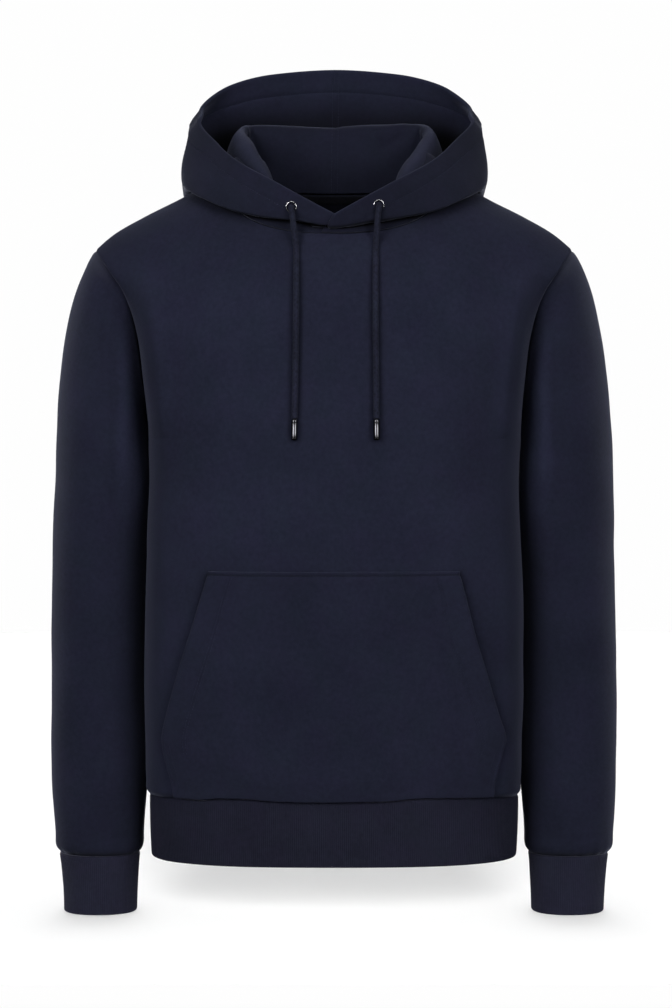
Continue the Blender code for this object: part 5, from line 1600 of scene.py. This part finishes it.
def make_pocket():
    top, low = -398.5, -623.0
    down = np.concatenate([np.array((0, 0.3, 0.7, 1.2, 2.0, 3.0, 3.6, 4.0, 4.4, 5.0, 6.2, 8.5)),
                           np.linspace(12, top - low, 84)])
    z = top - down
    edge = np.array((0, 0.3, 0.7, 1.2, 2.0, 3.2, 5.0, 7.5, 10.5, 14.0, 17.0, 19.0, 20.4, 21.3, 22.2,
                     22.9, 23.5, 24.1, 25.2, 27.0, 30.0))
    inner_q = np.linspace(-1, 1, 70)[1:-1]
    xs = []
    for zz in z:
        hl, hr = float(pocket.at("right", zz)), float(pocket.at("left", zz))
        a, b = -hl + 30.0, hr - 30.0
        xs.append(np.concatenate([-hl + edge, lerp(a, b, (inner_q + 1) / 2), (hr - edge)[::-1]]))
    x = np.array(xs)
    zz = np.broadcast_to(z[:, None], x.shape)
    p, n = on_front(x, zz)
    # the corners of a folded edge are a little rounded
    hl, hr = pocket.at("right", z)[:, None], pocket.at("left", z)[:, None]
    slant = np.cos(np.arctan(0.29))
    d_side = np.minimum(x + hl, hr - x) * slant
    d_top = np.broadcast_to(down[:, None], x.shape)
    d_open = np.where(zz > -566, d_side, np.sqrt(d_side ** 2 + (np.minimum(zz + 566, 0) * 0.5) ** 2))
    facing = 0.7 * smooth((POCKET_FACING - d_side) / 5.0) * smooth((zz + 585) / 16)
    hem = smooth((4.6 - d_top) / 1.2)
    low_side = smooth((9 - d_side) / 1.2) * smooth((-566 - zz) / 8)
    thick = 2.0 + 1.0 * np.maximum(np.maximum(facing, hem), low_side * 0.8)
    # the openings stand a little open, most in their middle
    gape = np.exp(-((zz + 485) / 62) ** 2)
    lift = POCKET_LIFT + 3.4 * gape * np.exp(-d_side / 13) + 0.8 * np.exp(-d_side / 30) \
        * smooth((zz + 590) / 40)
    lift = lift + 0.25 * unevenness(p, 50, 55) + 0.25
    # stitched down along the top and the short lower sides
    sewn = np.maximum(bump(d_top - 4.0, 2.2), smooth((-568 - zz) / 8) * bump(d_side - 5.0, 3.2))
    lift = lerp(lift, 0.6, 0.8 * np.clip(sewn, 0, 1))
    lines = bump(d_top - 4.0, 0.8) + (bump(d_side - POCKET_FACING, 0.8)
                                      + 0.8 * bump(d_side - POCKET_FACING + 2.6, 0.7)) \
        * smooth((zz + 588) / 10) * smooth((-402 - zz) / 3)
    lines = lines + (bump(d_side - 3.0, 0.8) + bump(d_side - 8.0, 0.8)) * smooth((-570 - zz) / 6)
    lines = np.where(d_side > 15, 0.45 * lines, lines)
    lines = np.maximum(lines, bump(d_top - 4.0, 0.8))
    pull = 0.5 * np.clip(lines, 0, 1)
    half = thick / 2
    foot = np.clip((zz - low) / 1.0, 0, 1)
    near = np.minimum(d_side, d_top)
    closing = np.sqrt(np.maximum(1 - (1 - np.clip(near / half, 0, 1)) ** 2, 0.03))
    half = half * closing
    mid = p + n * (lift + thick / 2)[..., None]
    outer = mid + n * np.maximum(half - pull, 0.1)[..., None]
    inner = mid - n * half[..., None]
    wall("pocket_cloth", outer, inner, "fleece", node="kangaroo_pocket",
         knit=knit_of(np.stack([x, 0 * x, zz], -1)))
    found = []
    mask = lambda pts, lo, hi: (pts[:, 2] > lo) & (pts[:, 2] < hi)
    sw = lambda f: np.swapaxes(f, 0, 1)
    mid_col = x.shape[1] // 2
    pts, nors = level_line(outer, n, d_top, 4.0, 2, x.shape[1] - 2, from_top=False)
    found.append((pts, nors))
    for sl in (slice(0, mid_col), slice(mid_col, None)):
        o, m, d = sw(outer[:, sl]), sw(n[:, sl]), sw(d_side[:, sl])
        for level, lo, hi in ((POCKET_FACING, -584, -403), (POCKET_FACING - 2.6, -584, -403),
                              (3.0, -619, -569), (8.0, -619, -571)):
            pts, nors = level_line(o, m, d, level, from_top=sl.start == 0 and False)
            keep = mask(pts, lo, hi)
            found.append((pts[keep], nors[keep]))
    stitches("pocket_stitching", found, "fleece", thick=0.45, lift=0.10)


POCKET_LIFT = 0.9
make_pocket()


# ---------------------------------------------------------------- tape inside the back neck
def make_tape():
    base, nor, outer, soft = panels[1]
    s = np.linspace(-NECK_SHARE * 5 / 6, NECK_SHARE * 5 / 6, 91)
    cols = np.interp(s, BODY_COLS, np.arange(len(BODY_COLS)))
    j0 = np.minimum(cols.astype(int), len(BODY_COLS) - 2)
    f = (cols - j0)[:, None]
    strip, nors = [], []
    for share in np.linspace(0.06, 1.0, 8):
        line, ln = [], []
        for j, w in zip(j0, f):
            top = lerp(soft[-1, j], soft[-1, j + 1], w)
            col = lerp(soft[:, j], soft[:, j + 1], w)
            back = col[::-1]
            run = np.concatenate([[0], np.cumsum(np.linalg.norm(np.diff(back, axis=0), axis=1))])
            line.append([np.interp(share * 9.0, run, back[:, c]) for c in range(3)])
            nn = nor[-14:, j].mean(0)
            ln.append(unit(nn))
        strip.append(line)
        nors.append(ln)
    strip, nors = np.array(strip), np.array(nors)
    edge = np.minimum(np.arange(8), 7 - np.arange(8))[:, None, None]
    out = strip - nors * (CLOTH + 0.75)
    wall("neck_tape_cloth", out, out - nors * 0.9, "tape", node="neck_tape", knit=knit_of(strip))


make_tape()

# ---------------------------------------------------------------- floor and light
WORLD_LIGHT = 0.012
floor_mesh = bpy.data.meshes.new("floor")
floor_mesh.from_pydata([(-0.62, -0.34, 0), (0.62, -0.34, 0), (1.25, 3.4, 0), (-1.25, 3.4, 0)],
                       [], [(0, 1, 2, 3)])
floor = bpy.data.objects.new("floor", floor_mesh)
floor.location = (0, 0, -0.7516)
scene.collection.objects.link(floor)
floor_mat, floor_tree, floor_bsdf, _ = base_material("floor", 0.9, 0.0, 0.0)
floor_bsdf.inputs["Base Color"].default_value = (0.90, 0.90, 0.90, 1)
floor_mesh.materials.append(floor_mat)
floor.visible_diffuse = floor.visible_glossy = False

world = bpy.data.worlds.new("studio")
scene.world = world
world.use_nodes = True
nodes, links = world.node_tree.nodes, world.node_tree.links
seen = nodes["Background"]
seen.inputs["Color"].default_value = (1, 1, 1, 1)
seen.inputs["Strength"].default_value = 0.992
lit = nodes.new("ShaderNodeBackground")
lit.inputs["Color"].default_value = (1, 1, 1, 1)
lit.inputs["Strength"].default_value = WORLD_LIGHT
rays = nodes.new("ShaderNodeLightPath")
both = nodes.new("ShaderNodeMixShader")
links.new(rays.outputs["Is Camera Ray"], both.inputs[0])
links.new(lit.outputs[0], both.inputs[1])
links.new(seen.outputs[0], both.inputs[2])
links.new(both.outputs[0], nodes["World Output"].inputs["Surface"])


def group(name, members):
    """A collection that lights refer to; it isn't part of the scene's own tree."""
    made = bpy.data.collections.new(name)
    for obj in members:
        made.objects.link(obj)
    return made


stage_only = group("lit_floor", [floor])
garment = group("lit_garment", [o for o in bpy.data.objects if o.type == "MESH" and o != floor])
ends = [o for o in bpy.data.objects if o.name.startswith("cuff_rib")]
arms = ends + [o for o in bpy.data.objects if o.name.startswith("sleeve_cloth")]
not_arms = group("shade_body", [o for o in garment.objects if o not in arms])
arms_only = group("shade_arms", arms)
ends_only = group("shade_cuffs", ends)


def soft_light(name, azimuth, elevation, far, size, power, on):
    """A square of soft light on part of the garment; azimuth 0 is the camera's side."""
    data = bpy.data.lights.new(name, "AREA")
    data.shape = "SQUARE"
    data.size, data.energy = size, power
    light = bpy.data.objects.new(name, data)
    a, e = math.radians(azimuth), math.radians(elevation)
    towards = Vector((math.sin(a) * math.cos(e), -math.cos(a) * math.cos(e), math.sin(e)))
    light.location = Vector((0, 0, -0.35)) + far * towards
    light.rotation_euler = (-towards).to_track_quat("-Z", "Y").to_euler()
    scene.collection.objects.link(light)
    light.light_linking.receiver_collection = on
    light.light_linking.blocker_collection = garment
    return light


def floor_light(name, azimuth, elevation, angle, radiance, blockers):
    """Even light on the floor alone, from far away; radiance is what the floor then shows."""
    data = bpy.data.lights.new(name, "SUN")
    a, e = math.radians(azimuth), math.radians(elevation)
    data.angle = math.radians(angle)
    data.energy = radiance * PI / 0.9 / math.sin(e)
    light = bpy.data.objects.new(name, data)
    towards = Vector((math.sin(a) * math.cos(e), -math.cos(a) * math.cos(e), math.sin(e)))
    light.rotation_euler = (-towards).to_track_quat("-Z", "Y").to_euler()
    scene.collection.objects.link(light)
    light.light_linking.receiver_collection = stage_only
    light.light_linking.blocker_collection = blockers
    return light


cloth_only = group("lit_cloth", [o for o in garment.objects
                                 if not o.name.startswith(("eyelet", "tip", "hood_cloth"))])
hoods = group("lit_hood", [o for o in garment.objects if o.name.startswith("hood_cloth")])
back_cloth = group("lit_back", [o for o in garment.objects if not o.name.startswith(
    ("front", "pocket", "cord", "tip", "eyelet"))])
LIGHT_COLUMNS = ("name", "azimuth", "elevation", "far", "size", "power", "on")
LIGHTS = (
    ("key_left",    -35,  15, 3.0, 1.4, 58.0, garment),
    ("key_right",    35,  15, 3.0, 1.4, 44.0, garment),
    ("top",           0,  62, 2.8, 1.6, 19.0, garment),
    ("edge_left",  -115,   8, 2.6, 1.4, 40.0, arms_only),
    ("edge_right",  115,   8, 2.6, 1.4, 39.0, arms_only),
    ("hood_left",  -115,   8, 2.6, 1.4, 14.0, hoods),
    ("hood_right",  115,   8, 2.6, 1.4, 13.0, hoods),
    ("low_left",    -50, -25, 2.6, 1.4, 5.0, cloth_only),
    ("low_right",    50, -25, 2.6, 1.4, 9.0, cloth_only),
    ("low_cuffs",     0, -18, 2.6, 1.4, 19.0, ends_only),
    ("back_left",  -168,   6, 3.0, 1.4, 48.0, back_cloth),
    ("back_right",  168,   6, 3.0, 1.4, 48.0, back_cloth),
)
for row in LIGHTS:
    soft_light(*row)
floor_light("floor_front", 0, 17, 24, 0.42, not_arms)
floor_light("floor_dome", 0, 90, 150, 0.44, arms_only)
floor_light("floor_back", 180, 35, 50, 0.20, ends_only)

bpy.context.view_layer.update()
total = sum(len(o.data.loop_triangles) or sum(p.loop_total - 2 for p in o.data.polygons)
            for o in bpy.data.objects if o.type == "MESH" and not o.hide_render)
print("triangles", total)
